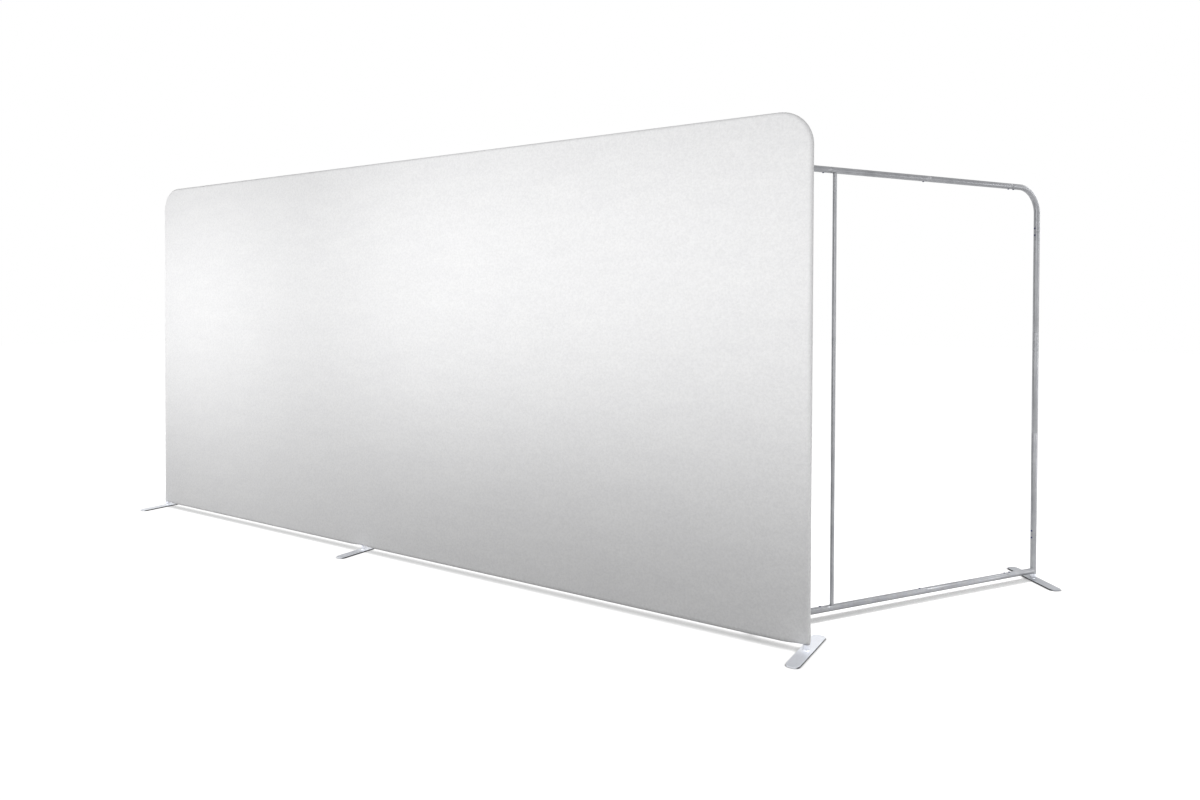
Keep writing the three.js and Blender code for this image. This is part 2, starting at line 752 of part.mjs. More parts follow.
function zipPull() {
  const near = -pullRod / 2;
  const outline = new THREE.Shape([
    [near, -pullWidth / 2], [pullLength, -pullWidth / 2],
    [pullLength, pullWidth / 2], [near, pullWidth / 2],
  ].map(([x, z]) => new THREE.Vector2(x, z)));
  const windowEnd = pullRod / 2 + pullWindow;
  outline.holes.push(new THREE.Path([
    [pullRod / 2, -pullWindowWidth / 2], [pullRod / 2, pullWindowWidth / 2],
    [windowEnd, pullWindowWidth / 2], [windowEnd, -pullWindowWidth / 2],
  ].map(([x, z]) => new THREE.Vector2(x, z))));
  const plate = new THREE.ExtrudeGeometry(outline, {
    depth: pullThickness, bevelEnabled: false,
  });
  return plate.translate(0, 0, -pullThickness / 2).rotateX(Math.PI / 2);
}

addPart(wall, 'zip_tape', zipTape(), whitePlastic);
addPart(wall, 'zip_slider', zipSlider(), zincAlloy).position.x = sliderX;
addPart(wall, 'zip_pull', zipPull(), zincAlloy).position.set(sliderX, pullAxisY, zipMiddle);

export default display;
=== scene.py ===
import json
import math
import bmesh
import bpy
import numpy as np
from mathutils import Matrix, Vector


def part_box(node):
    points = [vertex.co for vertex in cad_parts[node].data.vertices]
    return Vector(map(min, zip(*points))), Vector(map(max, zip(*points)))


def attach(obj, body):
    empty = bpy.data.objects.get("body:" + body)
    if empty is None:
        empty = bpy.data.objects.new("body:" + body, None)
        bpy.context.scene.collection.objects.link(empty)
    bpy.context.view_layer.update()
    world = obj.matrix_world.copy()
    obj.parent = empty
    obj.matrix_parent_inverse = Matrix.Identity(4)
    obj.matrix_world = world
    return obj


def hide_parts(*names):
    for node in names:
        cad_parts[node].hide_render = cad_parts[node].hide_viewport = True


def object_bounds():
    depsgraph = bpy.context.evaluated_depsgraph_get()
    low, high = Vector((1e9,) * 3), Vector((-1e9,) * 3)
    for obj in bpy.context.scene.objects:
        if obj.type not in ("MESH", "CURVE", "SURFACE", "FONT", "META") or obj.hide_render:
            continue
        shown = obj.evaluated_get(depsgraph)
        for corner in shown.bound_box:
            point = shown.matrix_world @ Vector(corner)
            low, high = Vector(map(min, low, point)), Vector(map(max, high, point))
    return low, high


# A fabric display wall on flat feet, with a bare return frame behind its right end.
# Metres, +Z up, front towards -Y, origin on the floor under the middle foot.

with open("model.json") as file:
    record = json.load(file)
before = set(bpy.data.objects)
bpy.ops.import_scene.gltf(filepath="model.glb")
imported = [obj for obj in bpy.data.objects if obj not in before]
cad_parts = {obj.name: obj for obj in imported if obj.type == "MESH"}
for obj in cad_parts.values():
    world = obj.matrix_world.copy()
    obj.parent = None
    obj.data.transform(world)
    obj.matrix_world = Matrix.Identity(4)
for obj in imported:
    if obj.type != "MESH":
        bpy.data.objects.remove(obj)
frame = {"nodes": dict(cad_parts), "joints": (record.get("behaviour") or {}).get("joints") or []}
cadBounds = [list(corner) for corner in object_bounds()]
scene = bpy.context.scene
print("frame loaded:", len(frame["nodes"]), "nodes")

mm = 0.001
quarter = math.pi / 2
xAxis, yAxis, zAxis = np.eye(3)


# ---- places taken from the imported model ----
def middleOf(node):
    low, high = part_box(node)
    return (np.array(low) + np.array(high)) / 2


def jointPlace(name):
    return np.array(next(j["pos_m"] for j in frame["joints"] if j["name"] == name))


tube = dict(radius=15 * mm, bore=13.4 * mm, spigot=13 * mm, spigotBore=11.4 * mm,
            reach=60 * mm, halfGap=0.15 * mm, edge=0.7 * mm, sides=40)
clothRadius = 16.8 * mm  # cloth's outer face from the axis of the tube inside it
wall = dict(postLeft=middleOf("left_post_1")[0], postRight=middleOf("right_post_1")[0],
            lowerRail=middleOf("lower_rail_1")[2],
            topRail=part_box("cover_front_panel")[1][2] - clothRadius,
            bend=133.2 * mm, leg=200 * mm, lowerPost=244 * mm, topPost=245 * mm)
swingAt = jointPlace("return_swing")
footAt = jointPlace("return_foot_turn")
returnRun = float(np.hypot(*(footAt - swingAt)[:2]))
returnTurn = math.atan2(footAt[1] - swingAt[1], footAt[0] - swingAt[0])
returnFootTurn = -17  # degrees off square to the return's rail
returnX = np.array([math.cos(returnTurn), math.sin(returnTurn), 0.0])
returnY = np.array([-math.sin(returnTurn), math.cos(returnTurn), 0.0])
returnOrigin = np.array([swingAt[0], swingAt[1], 0.0])
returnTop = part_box("return_outer_top_bend")[1][2] - tube["radius"]


def inWall(points):
    return np.asarray(points, float)


def inReturn(points):
    # x along the return frame, y across it, z up, turned about the hinge
    points = np.asarray(points, float)
    turned = points[..., :1] * returnX + points[..., 1:2] * returnY + points[..., 2:] * zAxis
    return returnOrigin + turned


def placed(name, data):
    obj = bpy.data.objects.new(name, data)
    scene.collection.objects.link(obj)
    return obj


# ---- camera ----
camera = dict(place=(3.8098, -3.4168, 1.4477), heading=32.246, pitch=0.7555, roll=0.2266,
              focal=830.05, centreRow=318.99, frameWidth=1200, frameHeight=800,
              sensor=36)


def addCamera():
    a, p, r = (math.radians(camera[key]) for key in ("heading", "pitch", "roll"))
    forward = np.array([-math.sin(a) * math.cos(p), math.cos(a) * math.cos(p), -math.sin(p)])
    right = np.array([math.cos(a), math.sin(a), 0.0])
    up = np.cross(right, forward)
    rolledRight = right * math.cos(r) + up * math.sin(r)
    rolledUp = up * math.cos(r) - right * math.sin(r)
    data = bpy.data.cameras.new("camera")
    data.sensor_fit = "HORIZONTAL"
    data.sensor_width = camera["sensor"]
    data.lens = camera["focal"] / camera["frameWidth"] * camera["sensor"]
    data.shift_y = -(camera["frameHeight"] / 2 - camera["centreRow"]) / camera["frameWidth"]
    obj = placed("camera", data)
    place = np.eye(4)
    place[:3, 0], place[:3, 1], place[:3, 2] = rolledRight, rolledUp, -forward
    place[:3, 3] = camera["place"]
    obj.matrix_world = place.T.tolist()
    return obj


scene.camera = addCamera()
scene.view_settings.view_transform = "Standard"
print("camera set")


# ---- materials ----
def newMaterial(name):
    material = bpy.data.materials.new(name)
    material.use_nodes = True
    nodes = material.node_tree.nodes
    shader = nodes.get("Principled BSDF")
    return material, nodes, material.node_tree.links, shader


def scaledCoordinates(nodes, links, scale, turn=0.0):
    # object coordinates, turned back by the piece's own heading, then stretched
    place = nodes.new("ShaderNodeTexCoord")
    turnBack = nodes.new("ShaderNodeMapping")
    turnBack.inputs["Rotation"].default_value = (0, 0, -turn)
    mapping = nodes.new("ShaderNodeMapping")
    mapping.inputs["Scale"].default_value = scale
    links.new(place.outputs["Object"], turnBack.inputs["Vector"])
    links.new(turnBack.outputs["Vector"], mapping.inputs["Vector"])
    return mapping.outputs["Vector"]


def objectAxis(nodes, links, axis):
    place = nodes.new("ShaderNodeTexCoord")
    apart = nodes.new("ShaderNodeSeparateXYZ")
    links.new(place.outputs["Object"], apart.inputs[0])
    return apart.outputs[axis]


def noise(nodes, links, scale, stretch=(1, 1, 1), detail=3.0, roughness=0.5, turn=0.0):
    texture = nodes.new("ShaderNodeTexNoise")
    texture.inputs["Scale"].default_value = scale
    texture.inputs["Detail"].default_value = detail
    texture.inputs["Roughness"].default_value = roughness
    links.new(scaledCoordinates(nodes, links, stretch, turn), texture.inputs["Vector"])
    return texture.outputs["Fac"]


def ribs(nodes, links, perMetre, along, distortion=0.0):
    texture = nodes.new("ShaderNodeTexWave")
    texture.bands_direction = along
    texture.inputs["Scale"].default_value = perMetre / 20 * 2 * math.pi
    texture.inputs["Distortion"].default_value = distortion
    texture.inputs["Detail"].default_value = 1.0
    links.new(scaledCoordinates(nodes, links, (1, 1, 1)), texture.inputs["Vector"])
    return texture.outputs["Fac"]


def ramp(nodes, links, value, stops):
    node = nodes.new("ShaderNodeValToRGB")
    elements = node.color_ramp.elements
    while len(elements) < len(stops):
        elements.new(0.5)
    for element, (at, colour) in zip(elements, stops):
        element.position = at
        element.color = (*colour, 1)
    links.new(value, node.inputs["Fac"])
    return node.outputs["Color"]


def span(nodes, links, value, low, high):
    node = nodes.new("ShaderNodeMapRange")
    node.inputs["To Min"].default_value = low
    node.inputs["To Max"].default_value = high
    links.new(value, node.inputs["Value"])
    return node.outputs["Result"]


def blended(nodes, links, mode, factor, first, second):
    node = nodes.new("ShaderNodeMix")
    node.data_type = "RGBA"
    node.blend_type = mode
    node.inputs[0].default_value = factor
    links.new(first, node.inputs[6])  # colour A
    links.new(second, node.inputs[7])  # colour B
    return node.outputs[2]


def summed(nodes, links, operation, first, second):
    node = nodes.new("ShaderNodeMath")
    node.operation = operation
    for socket, value in zip(node.inputs, (first, second)):
        if isinstance(value, (int, float)):
            socket.default_value = value
        else:
            links.new(value, socket)
    return node.outputs["Value"]


def bump(nodes, links, height, distance, strength=1.0, onto=None):
    node = nodes.new("ShaderNodeBump")
    node.inputs["Distance"].default_value = distance
    node.inputs["Strength"].default_value = strength
    links.new(height, node.inputs["Height"])
    if onto is not None:
        links.new(onto, node.inputs["Normal"])
    return node.outputs["Normal"]


def metalFinish(name, dark, light, metallic, roughness, grain, stretch, paintedLightBelow=0.0):
    # drawn metal: fine grain along one direction, cloudy handling marks, small scuffs
    material, nodes, links, shader = newMaterial(name)
    cloud = noise(nodes, links, 9, (1, 1, 1), 4, 0.6)
    fine = noise(nodes, links, grain, stretch, 2, 0.6)
    scuff = noise(nodes, links, 60, (1, 1, 0.4), 5, 0.75)
    colour = ramp(nodes, links, cloud, [(0.3, dark), (0.7, light)])
    marks = ramp(nodes, links, scuff, [(0.33, (0.82, 0.82, 0.84)), (0.5, (1, 1, 1))])
    worn = blended(nodes, links, "MULTIPLY", 0.5, colour, marks)
    if paintedLightBelow:
        # painted light: the end that meets a foot is painted bright up to this height, where the
        # hem shades it
        turned = ramp(nodes, links, objectAxis(nodes, links, "Z"), [
            (paintedLightBelow - mm, (0.84, 0.85, 0.9)), (paintedLightBelow, (0, 0, 0))])
        worn = blended(nodes, links, "LIGHTEN", 1.0, worn, turned)
    links.new(worn, shader.inputs["Base Color"])
    shader.inputs["Metallic"].default_value = metallic
    uneven = summed(nodes, links, "ADD", span(nodes, links, cloud, *roughness),
                    span(nodes, links, fine, -0.02, 0.03))
    links.new(uneven, shader.inputs["Roughness"])
    links.new(bump(nodes, links, fine, 0.008 * mm, 0.5), shader.inputs["Normal"])
    return material


def footFinish(name, turn, low, high):
    # brushed plate: streaks along it, a bright rim, and painted shade: the long side faces are
    # painted near-black where the mesh's side-shade attribute is high
    material, nodes, links, shader = newMaterial(name)
    streak = noise(nodes, links, 420, (1, 0.05, 1), 3, 0.6, turn)
    cloud = noise(nodes, links, 14, (1, 1, 1), 4, 0.6)
    top = ramp(nodes, links, cloud, [(0.3, low), (0.7, high)])
    lines = ramp(nodes, links, streak, [(0.3, (0.94, 0.94, 0.945)), (0.6, (1, 1, 1))])
    bright = blended(nodes, links, "MULTIPLY", 1.0, top, lines)
    # painted shade: near-black on the long side faces, read from the mesh attribute
    paintedSideShade = nodes.new("ShaderNodeAttribute")
    paintedSideShade.attribute_name = "cutEdge"
    shade = ramp(nodes, links, paintedSideShade.outputs["Fac"], [
        (0.25, (1, 1, 1)), (0.6, (0.12, 0.12, 0.13)), (0.95, (0.035, 0.035, 0.04))])
    links.new(blended(nodes, links, "MULTIPLY", 1.0, bright, shade), shader.inputs["Base Color"])
    shader.inputs["Metallic"].default_value = 0.5
    links.new(span(nodes, links, cloud, 0.3, 0.42), shader.inputs["Roughness"])
    links.new(bump(nodes, links, streak, 0.03 * mm, 0.4), shader.inputs["Normal"])
    return material


def fabricFinish():
    # matt warp knit: wales up the cloth, courses across, slight unevenness of the white
    material, nodes, links, shader = newMaterial("stretch_knit")
    wales = ribs(nodes, links, 900, "X", 0.6)
    courses = ribs(nodes, links, 700, "Z", 0.6)
    knit = summed(nodes, links, "MULTIPLY", wales, courses)
    mottle = noise(nodes, links, 95, (1, 1, 1), 6, 0.72)
    slub = noise(nodes, links, 9, (0.35, 1, 1.4), 3, 0.5)
    broad = ramp(nodes, links, slub, [(0.3, (0.855, 0.855, 0.86)), (0.7, (0.88, 0.88, 0.882))])
    speck = ramp(nodes, links, mottle, [(0.36, (0.9, 0.9, 0.902)), (0.64, (1, 1, 1))])
    base = blended(nodes, links, "MULTIPLY", 1.0, broad, speck)
    loops = ramp(nodes, links, knit, [(0.0, (0.955, 0.955, 0.957)), (0.55, (1, 1, 1))])
    links.new(blended(nodes, links, "MULTIPLY", 1.0, base, loops), shader.inputs["Base Color"])
    shader.inputs["Roughness"].default_value = 0.92
    shader.inputs["Specular IOR Level"].default_value = 0.25
    shader.inputs["Sheen Weight"].default_value = 0.12
    shader.inputs["Sheen Roughness"].default_value = 0.6
    low = bump(nodes, links, mottle, 0.25 * mm, 0.6)
    links.new(bump(nodes, links, knit, 0.12 * mm, 0.5, low), shader.inputs["Normal"])
    return material


def plasticFinish(name, dark, light, roughness, grain):
    # moulded plastic: even colour, fine eroded grain, slightly worn gloss
    material, nodes, links, shader = newMaterial(name)
    cloud = noise(nodes, links, 120, (1, 1, 1), 3, 0.6)
    fine = noise(nodes, links, grain, (1, 1, 1), 2, 0.6)
    links.new(ramp(nodes, links, cloud, [(0.3, dark), (0.7, light)]), shader.inputs["Base Color"])
    links.new(span(nodes, links, fine, *roughness), shader.inputs["Roughness"])
    links.new(bump(nodes, links, fine, 0.05 * mm, 0.4), shader.inputs["Normal"])
    return material


def wovenFinish(name, dark, light):
    # plain woven tape: fine ribs both ways
    material, nodes, links, shader = newMaterial(name)
    weft = ribs(nodes, links, 1200, "X", 0.2)
    warp = ribs(nodes, links, 1000, "Z", 0.2)
    weave = summed(nodes, links, "MULTIPLY", weft, warp)
    links.new(ramp(nodes, links, weave, [(0, dark), (0.6, light)]), shader.inputs["Base Color"])
    shader.inputs["Roughness"].default_value = 0.85
    links.new(bump(nodes, links, weave, 0.15 * mm, 0.6), shader.inputs["Normal"])
    return material


anodised = ((0.26, 0.265, 0.28), (0.355, 0.36, 0.375))  # darkest and lightest grey
satin = (0.26, 0.38)  # least and most roughness, before the grain
finishes = dict(
    post=metalFinish("anodised_post", *anodised, 0.75, satin, 500, (1, 1, 0.02)),
    rail=metalFinish("anodised_rail", *anodised, 0.75, satin, 500, (0.05, 0.05, 1)),
    # painted light: the fitting is painted bright below 33 mm, where the hem shades its end
    fitting=metalFinish("anodised_fitting", *anodised, 0.6, satin, 500, (1, 1, 0.02), 33 * mm),
    # one brushed plate in two copies: the front feet's copy has painted light in its colours, and
    # the return foot's copy behind the wall has painted shade
    foot=footFinish("brushed_plate", 0.0, (0.80, 0.82, 0.87), (0.87, 0.89, 0.94)),
    returnPlate=footFinish("brushed_plate_return", returnTurn + math.radians(returnFootTurn),
                           (0.29, 0.30, 0.325), (0.35, 0.36, 0.385)),
    zinc=metalFinish("nickel_plate", (0.55, 0.55, 0.56), (0.66, 0.66, 0.67), 0.9,
                     (0.2, 0.32), 1400, (1, 1, 1)),
    button=plasticFinish("navy_nylon", (0.004, 0.006, 0.06), (0.008, 0.012, 0.10),
                         (0.32, 0.5), 2600),
    pale=plasticFinish("pale_nylon", (0.66, 0.66, 0.67), (0.76, 0.76, 0.77),
                       (0.4, 0.55), 2200),
    nylon=plasticFinish("grey_nylon", (0.27, 0.28, 0.30), (0.33, 0.34, 0.36),
                        (0.45, 0.65), 2200),
    cover=fabricFinish(),
    tape=wovenFinish("woven_tape", (0.62, 0.62, 0.63), (0.78, 0.78, 0.79)),
    coil=plasticFinish("coil_nylon", (0.66, 0.66, 0.67), (0.76, 0.76, 0.77), (0.3, 0.45), 1800),
)
print("materials made:", len(finishes))


# ---- surfaces ----
def gridQuads(rows, columns, wrapRows=False, wrapColumns=False):
    # corner indices of every cell of a rows x columns grid
    i, j = np.meshgrid(np.arange(rows if wrapRows else rows - 1),
                       np.arange(columns if wrapColumns else columns - 1), indexing="ij")
    down, along = (i + 1) % rows, (j + 1) % columns
    corners = [i * columns + j, i * columns + along, down * columns + along, down * columns + j]
    return np.stack(corners, -1).reshape(-1, 4)


def sweep(profile, centres, inward, across, sides, closed=True):
    # point = centre + radius * (cos(angle) * inward + sin(angle) * across), one ring for each
    # profile point; an open profile starts and ends on the axis and gets a fan at each end
    radii = np.asarray(profile, float)[:, 0]
    angle = np.arange(sides) * 2 * math.pi / sides
    rings = (np.cos(angle)[None, :, None] * inward[:, None, :]
             + np.sin(angle)[None, :, None] * np.asarray(across)[None, None, :])
    points = centres[:, None, :] + radii[:, None, None] * rings
    if closed:
        return points.reshape(-1, 3), gridQuads(len(radii), sides, True, True).tolist()
    inner = points[1:-1]
    faces = gridQuads(len(radii) - 2, sides, False, True).tolist()
    count = inner.shape[0] * sides
    vertices = np.concatenate([inner.reshape(-1, 3), centres[:1], centres[-1:]])
    last = count - sides
    for k in range(sides):
        step = (k + 1) % sides
        faces.append([count, step, k])
        faces.append([count + 1, last + k, last + step])
    return vertices, faces


def straightPath(distances, start, direction, inward):
    distances = np.asarray(distances, float)
    centres = np.asarray(start)[None, :] + distances[:, None] * np.asarray(direction)[None, :]
    return centres, np.repeat(np.asarray(inward, float)[None, :], len(distances), 0)


def endCaps(rows, columns):
    # one flat face over the first ring and one over the last
    return [list(range(columns))[::-1], list(range((rows - 1) * columns, rows * columns))]


def merged(parts):
    vertices, faces, offset = [], [], 0
    for points, quads in parts:
        vertices.append(points)
        faces += [[index + offset for index in face] for face in quads]
        offset += len(points)
    return np.concatenate(vertices), faces


def addPiece(name, points, faces, body, finish, replaces=(), sharp=38, closed=True):
    mesh = bpy.data.meshes.new(name)
    mesh.from_pydata(np.asarray(points).tolist(), [], faces)
    mesh.update()
    obj = placed(name, mesh)
    if closed:
        turnOutward(mesh)
    smoothed(mesh, sharp)
    mesh.materials.append(finishes[finish])
    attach(obj, body)
    if replaces:
        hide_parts(*replaces)
    return obj


def turnOutward(mesh):
    # flips every face of a closed mesh whose volume comes out negative
    shell = bmesh.new()
    shell.from_mesh(mesh)
    if shell.calc_volume(signed=True) < 0:
        bmesh.ops.reverse_faces(shell, faces=shell.faces[:])
        shell.to_mesh(mesh)
    shell.free()


def smoothed(mesh, sharp):
    mesh.polygons.foreach_set("use_smooth", np.ones(len(mesh.polygons), bool))
    mesh.set_sharp_from_angle(angle=math.radians(sharp))


def drilled(obj, drills, sharp=38, reach=24 * mm):
    # cuts a round hole from the tube's axis outwards at each drill: (place, direction, radius)
    parts = []
    for place, direction, radius in drills:
        side = np.cross(direction, [0.31, 0.59, 0.74])
        side /= np.linalg.norm(side)
        profile = [(0, 0), (radius, 0), (radius, 1), (0, 1)]
        ends = np.array([0, 0, 1, 1]) * reach
        centres, inward = straightPath(ends, place, direction, side)
        parts.append(sweep(profile, centres, inward, np.cross(direction, side), 20, False))
    points, faces = merged(parts)
    mesh = bpy.data.meshes.new("drill")
    mesh.from_pydata(points.tolist(), [], faces)
    turnEach(mesh)
    cutter = placed("drill", mesh)
    holes = obj.modifiers.new("holes", "BOOLEAN")
    holes.object = cutter
    holes.operation = "DIFFERENCE"
    holes.solver = "EXACT"
    holes.use_self = True
    graph = bpy.context.evaluated_depsgraph_get()
    result = bpy.data.meshes.new_from_object(obj.evaluated_get(graph))
    obj.modifiers.clear()
    before = obj.data
    result.name = before.name
    obj.data = result
    bpy.data.objects.remove(cutter)
    bpy.data.meshes.remove(before)
    smoothed(result, sharp)


def turnEach(mesh):
    shell = bmesh.new()
    shell.from_mesh(mesh)
    bmesh.ops.recalc_face_normals(shell, faces=shell.faces[:])
    shell.to_mesh(mesh)
    shell.free()


# ---- tubes ----
def tubeProfile(start, end, maleStart, maleEnd, stops=()):
    # loop of (radius, distance): along the outside, round the far end, back along the bore
    r, b, s, sb = tube["radius"], tube["bore"], tube["spigot"], tube["spigotBore"]
    e, reach = tube["edge"], tube["reach"]
    stops = sorted(stops)
    outer = [(r - e, start), (r - 0.3 * e, start + 0.3 * e), (r, start + e)]
    outer += [(r, d) for d in stops if start + e < d < end - e]
    outer += [(r, end - e), (r - 0.3 * e, end - 0.3 * e), (r - e, end)]
    far, near, low, high = [(b, end)], [(b, start)], start, end
    if maleEnd:
        high = end - reach
        far = [(s, end), (s, end + reach - e), (s - e, end + reach), (sb, end + reach),
               (sb, high), (b, high)]
    if maleStart:
        low = start + reach
        near = [(b, low), (sb, low), (sb, start - reach), (s - e, start - reach),
                (s, start - reach + e), (s, start)]
    inner = [(b, d) for d in reversed(stops) if low < d < high]
    return outer + far + inner + near


def around(distance):
    # extra rings near a hole, so that its cut stays local
    return [distance - 9 * mm, distance + 9 * mm]


def straightTube(name, place, body, start, end, maleStart, maleEnd, finish, drills=()):
    # start and end are points in the frame's own coordinates
    start, end = np.array(start, float), np.array(end, float)
    length = np.linalg.norm(end - start)
    direction = (end - start) / length
    along = [float(np.dot(np.array(at) - start, direction)) for at, _, _ in drills]
    stops = [d for distance in along for d in around(distance)]
    gap = tube["halfGap"]
    profile = tubeProfile(gap, length - gap, maleStart, maleEnd, stops)
    inward = np.cross(yAxis, direction)
    centres, inwards = straightPath([d for _, d in profile], start, direction, inward)
    points, faces = sweep(profile, centres, inwards, yAxis, tube["sides"])
    obj = addPiece(name + "_tube", place(points), faces, body, finish, [name])
    finishHoles(obj, place, drills)


def finishHoles(obj, place, drills):
    if drills:
        origin = place(np.zeros(3))
        drilled(obj, [(place(np.array(at)), place(np.array(toward)) - origin, radius)
                      for at, toward, radius in drills])


def topBend(name, place, body, side, post, rail, legX, legZ, drills=()):
    # up the post leg, a quarter circle of the bend's radius, then along the rail leg
    radius = wall["bend"]
    rise = rail - radius - legZ
    arc = radius * quarter
    run = abs(post - legX) - radius
    total = rise + arc + run
    stops = list(rise + arc * np.linspace(0, 1, 19))
    for at, _, _ in drills:
        stops += around(rise + arc + abs(at[0] - post) - radius)
        if at[2] < rail - radius:
            stops += around(at[2] - legZ)
    gap = tube["halfGap"]
    profile = tubeProfile(gap, total - gap, False, False, stops)
    d = np.array([distance for _, distance in profile])
    turn = np.clip((d - rise) / radius, 0, quarter)
    overrun = np.clip(d - rise - arc, 0, None)
    x = post - side * (radius * (1 - np.cos(turn)) + overrun)
    z = legZ + np.minimum(d, rise) + radius * np.sin(turn)
    centres = np.stack([x, 0 * x, z], 1)
    inwards = np.stack([-side * np.cos(turn), 0 * x, -np.sin(turn)], 1)
    points, faces = sweep(profile, centres, inwards, yAxis, tube["sides"])
    obj = addPiece(name + "_tube", place(points), faces, body, "post", [name])
    finishHoles(obj, place, drills)


corner = dict(neck=14.4 * mm, neckEnd=30 * mm, weld=1.3 * mm, back=25 * mm, collarTop=15.3 * mm)


def branch(side, axis, length):
    # tube leaving the post at right angles: its first rings lie on the post's surface,
    # at distance sqrt(post radius ^ 2 - (ring radius * sin(angle)) ^ 2) from the axis
    sides, r, e = tube["sides"], tube["radius"], tube["edge"]
    neck, weld = corner["neck"], corner["weld"]
    angle = np.arange(sides) * 2 * math.pi / sides
    rows = [(neck * share, 0.95, 0.0) for share in (0.02, 0.33, 0.66, 0.97)]
    rows += [(neck + weld, 1, 0.0), (neck + 0.45 * weld, 1, 0.35 * weld), (neck, 1, weld)]
    points = []
    for radius, inset, lift in rows:
        across = np.minimum(radius * np.abs(np.sin(angle)), r)
        points.append(np.stack([inset * np.sqrt(r * r - across ** 2) + lift,
                                inset * radius * np.sin(angle), radius * np.cos(angle)], 1))
    bore, end, neckEnd = tube["bore"], length - tube["halfGap"], corner["neckEnd"]
    for radius, x in [(neck, neckEnd - e), (neck, neckEnd), (r - 0.4 * mm, neckEnd),
                      (r, neckEnd + 0.4 * mm), (r, end - e), (r - e, end), (bore, end),
                      (bore, corner["back"]), (bore * 0.02, corner["back"])]:
        x = np.full(sides, x)
        points.append(np.stack([x, radius * np.sin(angle), radius * np.cos(angle)], 1))
    grid = np.stack(points)
    faces = gridQuads(len(grid), sides, False, True).tolist()
    faces += endCaps(len(grid), sides)
    flat = grid.reshape(-1, 3)
    flat = np.stack([axis - side * flat[:, 0], flat[:, 1], flat[:, 2] + wall["lowerRail"]], 1)
    return flat, faces


def lowerCorner(name, place, body, side, post, legX, drills=()):
    # the post's lowest section with the rail's branch welded to it
    bottom, top = corner["collarTop"], wall["lowerPost"] - tube["halfGap"]
    profile = tubeProfile(bottom, top, False, False, [90 * mm] + [
        d for at, _, _ in drills if at[2] > 150 * mm for d in around(at[2])])
    centres, inwards = straightPath([d for _, d in profile], [post, 0, 0], zAxis, xAxis)
    trunk = sweep(profile, centres, inwards, yAxis, tube["sides"])
    points, faces = merged([trunk, branch(side, post, abs(post - legX))])
    obj = addPiece(name + "_fitting", place(points), faces, body, "fitting",
                   [name])
    turnEach(obj.data)
    smoothed(obj.data, 38)
    finishHoles(obj, place, drills)


upright = dict(radius=9.5 * mm, bore=8.3 * mm, peg=5 * mm, pegReach=5 * mm, sides=32)


def thinUpright(name, place, body, x, bottom, top, onTee=False):
    # both ends are cut to sit on the round rails: depth = R - sqrt(R^2 - across^2)
    sides, r, rail = upright["sides"], upright["radius"], tube["radius"]
    angle = np.arange(sides) * 2 * math.pi / sides
    across = r * np.sin(angle)
    saddle = rail - np.sqrt(rail ** 2 - across ** 2)
    peg, gap = upright["peg"], 0.3 * mm
    rows = []

    def ring(radius, height):
        z = height if np.ndim(height) else np.full(sides, height)
        rows.append(np.stack([x + radius * np.cos(angle), radius * np.sin(angle), z], 1))

    lowSaddle = 0 * saddle if onTee else saddle
    ring(peg * 0.6, bottom - upright["pegReach"])
    ring(peg, bottom - upright["pegReach"] + 0.4 * mm)
    ring(peg, bottom + gap)
    ring(r - 0.5 * mm, bottom + gap - lowSaddle * 0.9)
    ring(r, bottom + gap + 0.5 * mm - lowSaddle * 0.9)
    ring(r, bottom + 12 * mm)
    ring(r, top - 12 * mm)
    ring(r, top - gap - 0.5 * mm + saddle * 0.9)
    ring(r - 0.5 * mm, top - gap + saddle * 0.9)
    ring(peg, top - gap)
    ring(peg, top + upright["pegReach"] - 0.4 * mm)
    ring(peg * 0.6, top + upright["pegReach"])
    grid = np.stack(rows)
    faces = gridQuads(len(grid), sides, False, True).tolist()
    faces += endCaps(len(grid), sides)
    addPiece(name + "_tube", place(grid.reshape(-1, 3)), faces, body,
             "post", [name])


snap = dict(radius=4.6 * mm, hole=5.1 * mm, proud=3 * mm, flange=5.4 * mm, flangeOuter=9.3 * mm,
            leafInner=7.9 * mm, leaf=0.8 * mm, leafWidth=7 * mm, leafLength=32 * mm,
            pair=18 * mm, single=40 * mm)


def snapButton(name, place, at, toward, along):
    # pin: flange, straight shank and a domed end, height = crown - dome * (1 - cos(angle))
    at, toward, along = (np.array(v, float) for v in (at, toward, along))
    crown, dome = tube["radius"] + snap["proud"], 2.2 * mm
    turn = np.linspace(quarter, 0, 7)
    profile = [(0, snap["leafInner"]), (snap["flange"] - 0.3 * mm, snap["leafInner"]),
               (snap["flange"], snap["leafInner"] + 0.3 * mm),
               (snap["flange"], snap["flangeOuter"]), (snap["radius"], snap["flangeOuter"])]
    profile += [(max(snap["radius"] * math.sin(t), 0), crown - dome * (1 - math.cos(t)))
                for t in turn]
    side = np.cross(along, toward)
    centres, inwards = straightPath([d for _, d in profile], at, toward, along)
    pin = sweep(profile, centres, inwards, side, 24, False)
    half, wide = snap["leafLength"] / 2, snap["leafWidth"] / 2
    u = np.linspace(-1, 1, 13)
    lift = snap["leafInner"] - 0.8 * mm * u ** 2
    edges = []
    for across, up in ((-wide, 0), (wide, 0), (wide, snap["leaf"]), (-wide, snap["leaf"])):
        edges.append(at + half * u[:, None] * along + across * side
                     + (lift + up)[:, None] * toward)
    strip = np.stack(edges, 1).reshape(-1, 3)
    leafFaces = gridQuads(13, 4, False, True).tolist() + endCaps(13, 4)
    points, faces = merged([pin, (strip, leafFaces)])
    obj = addPiece(name + "_pin", place(points), faces, name, "button", [name])
    turnEach(obj.data)


# ---- feet ----
foot = dict(length=385 * mm, width=60 * mm, thickness=7 * mm, corner=24 * mm, edge=1.6 * mm,
            collar=19 * mm, collarHeight=8 * mm, stub=12.8 * mm, stubReach=80 * mm)


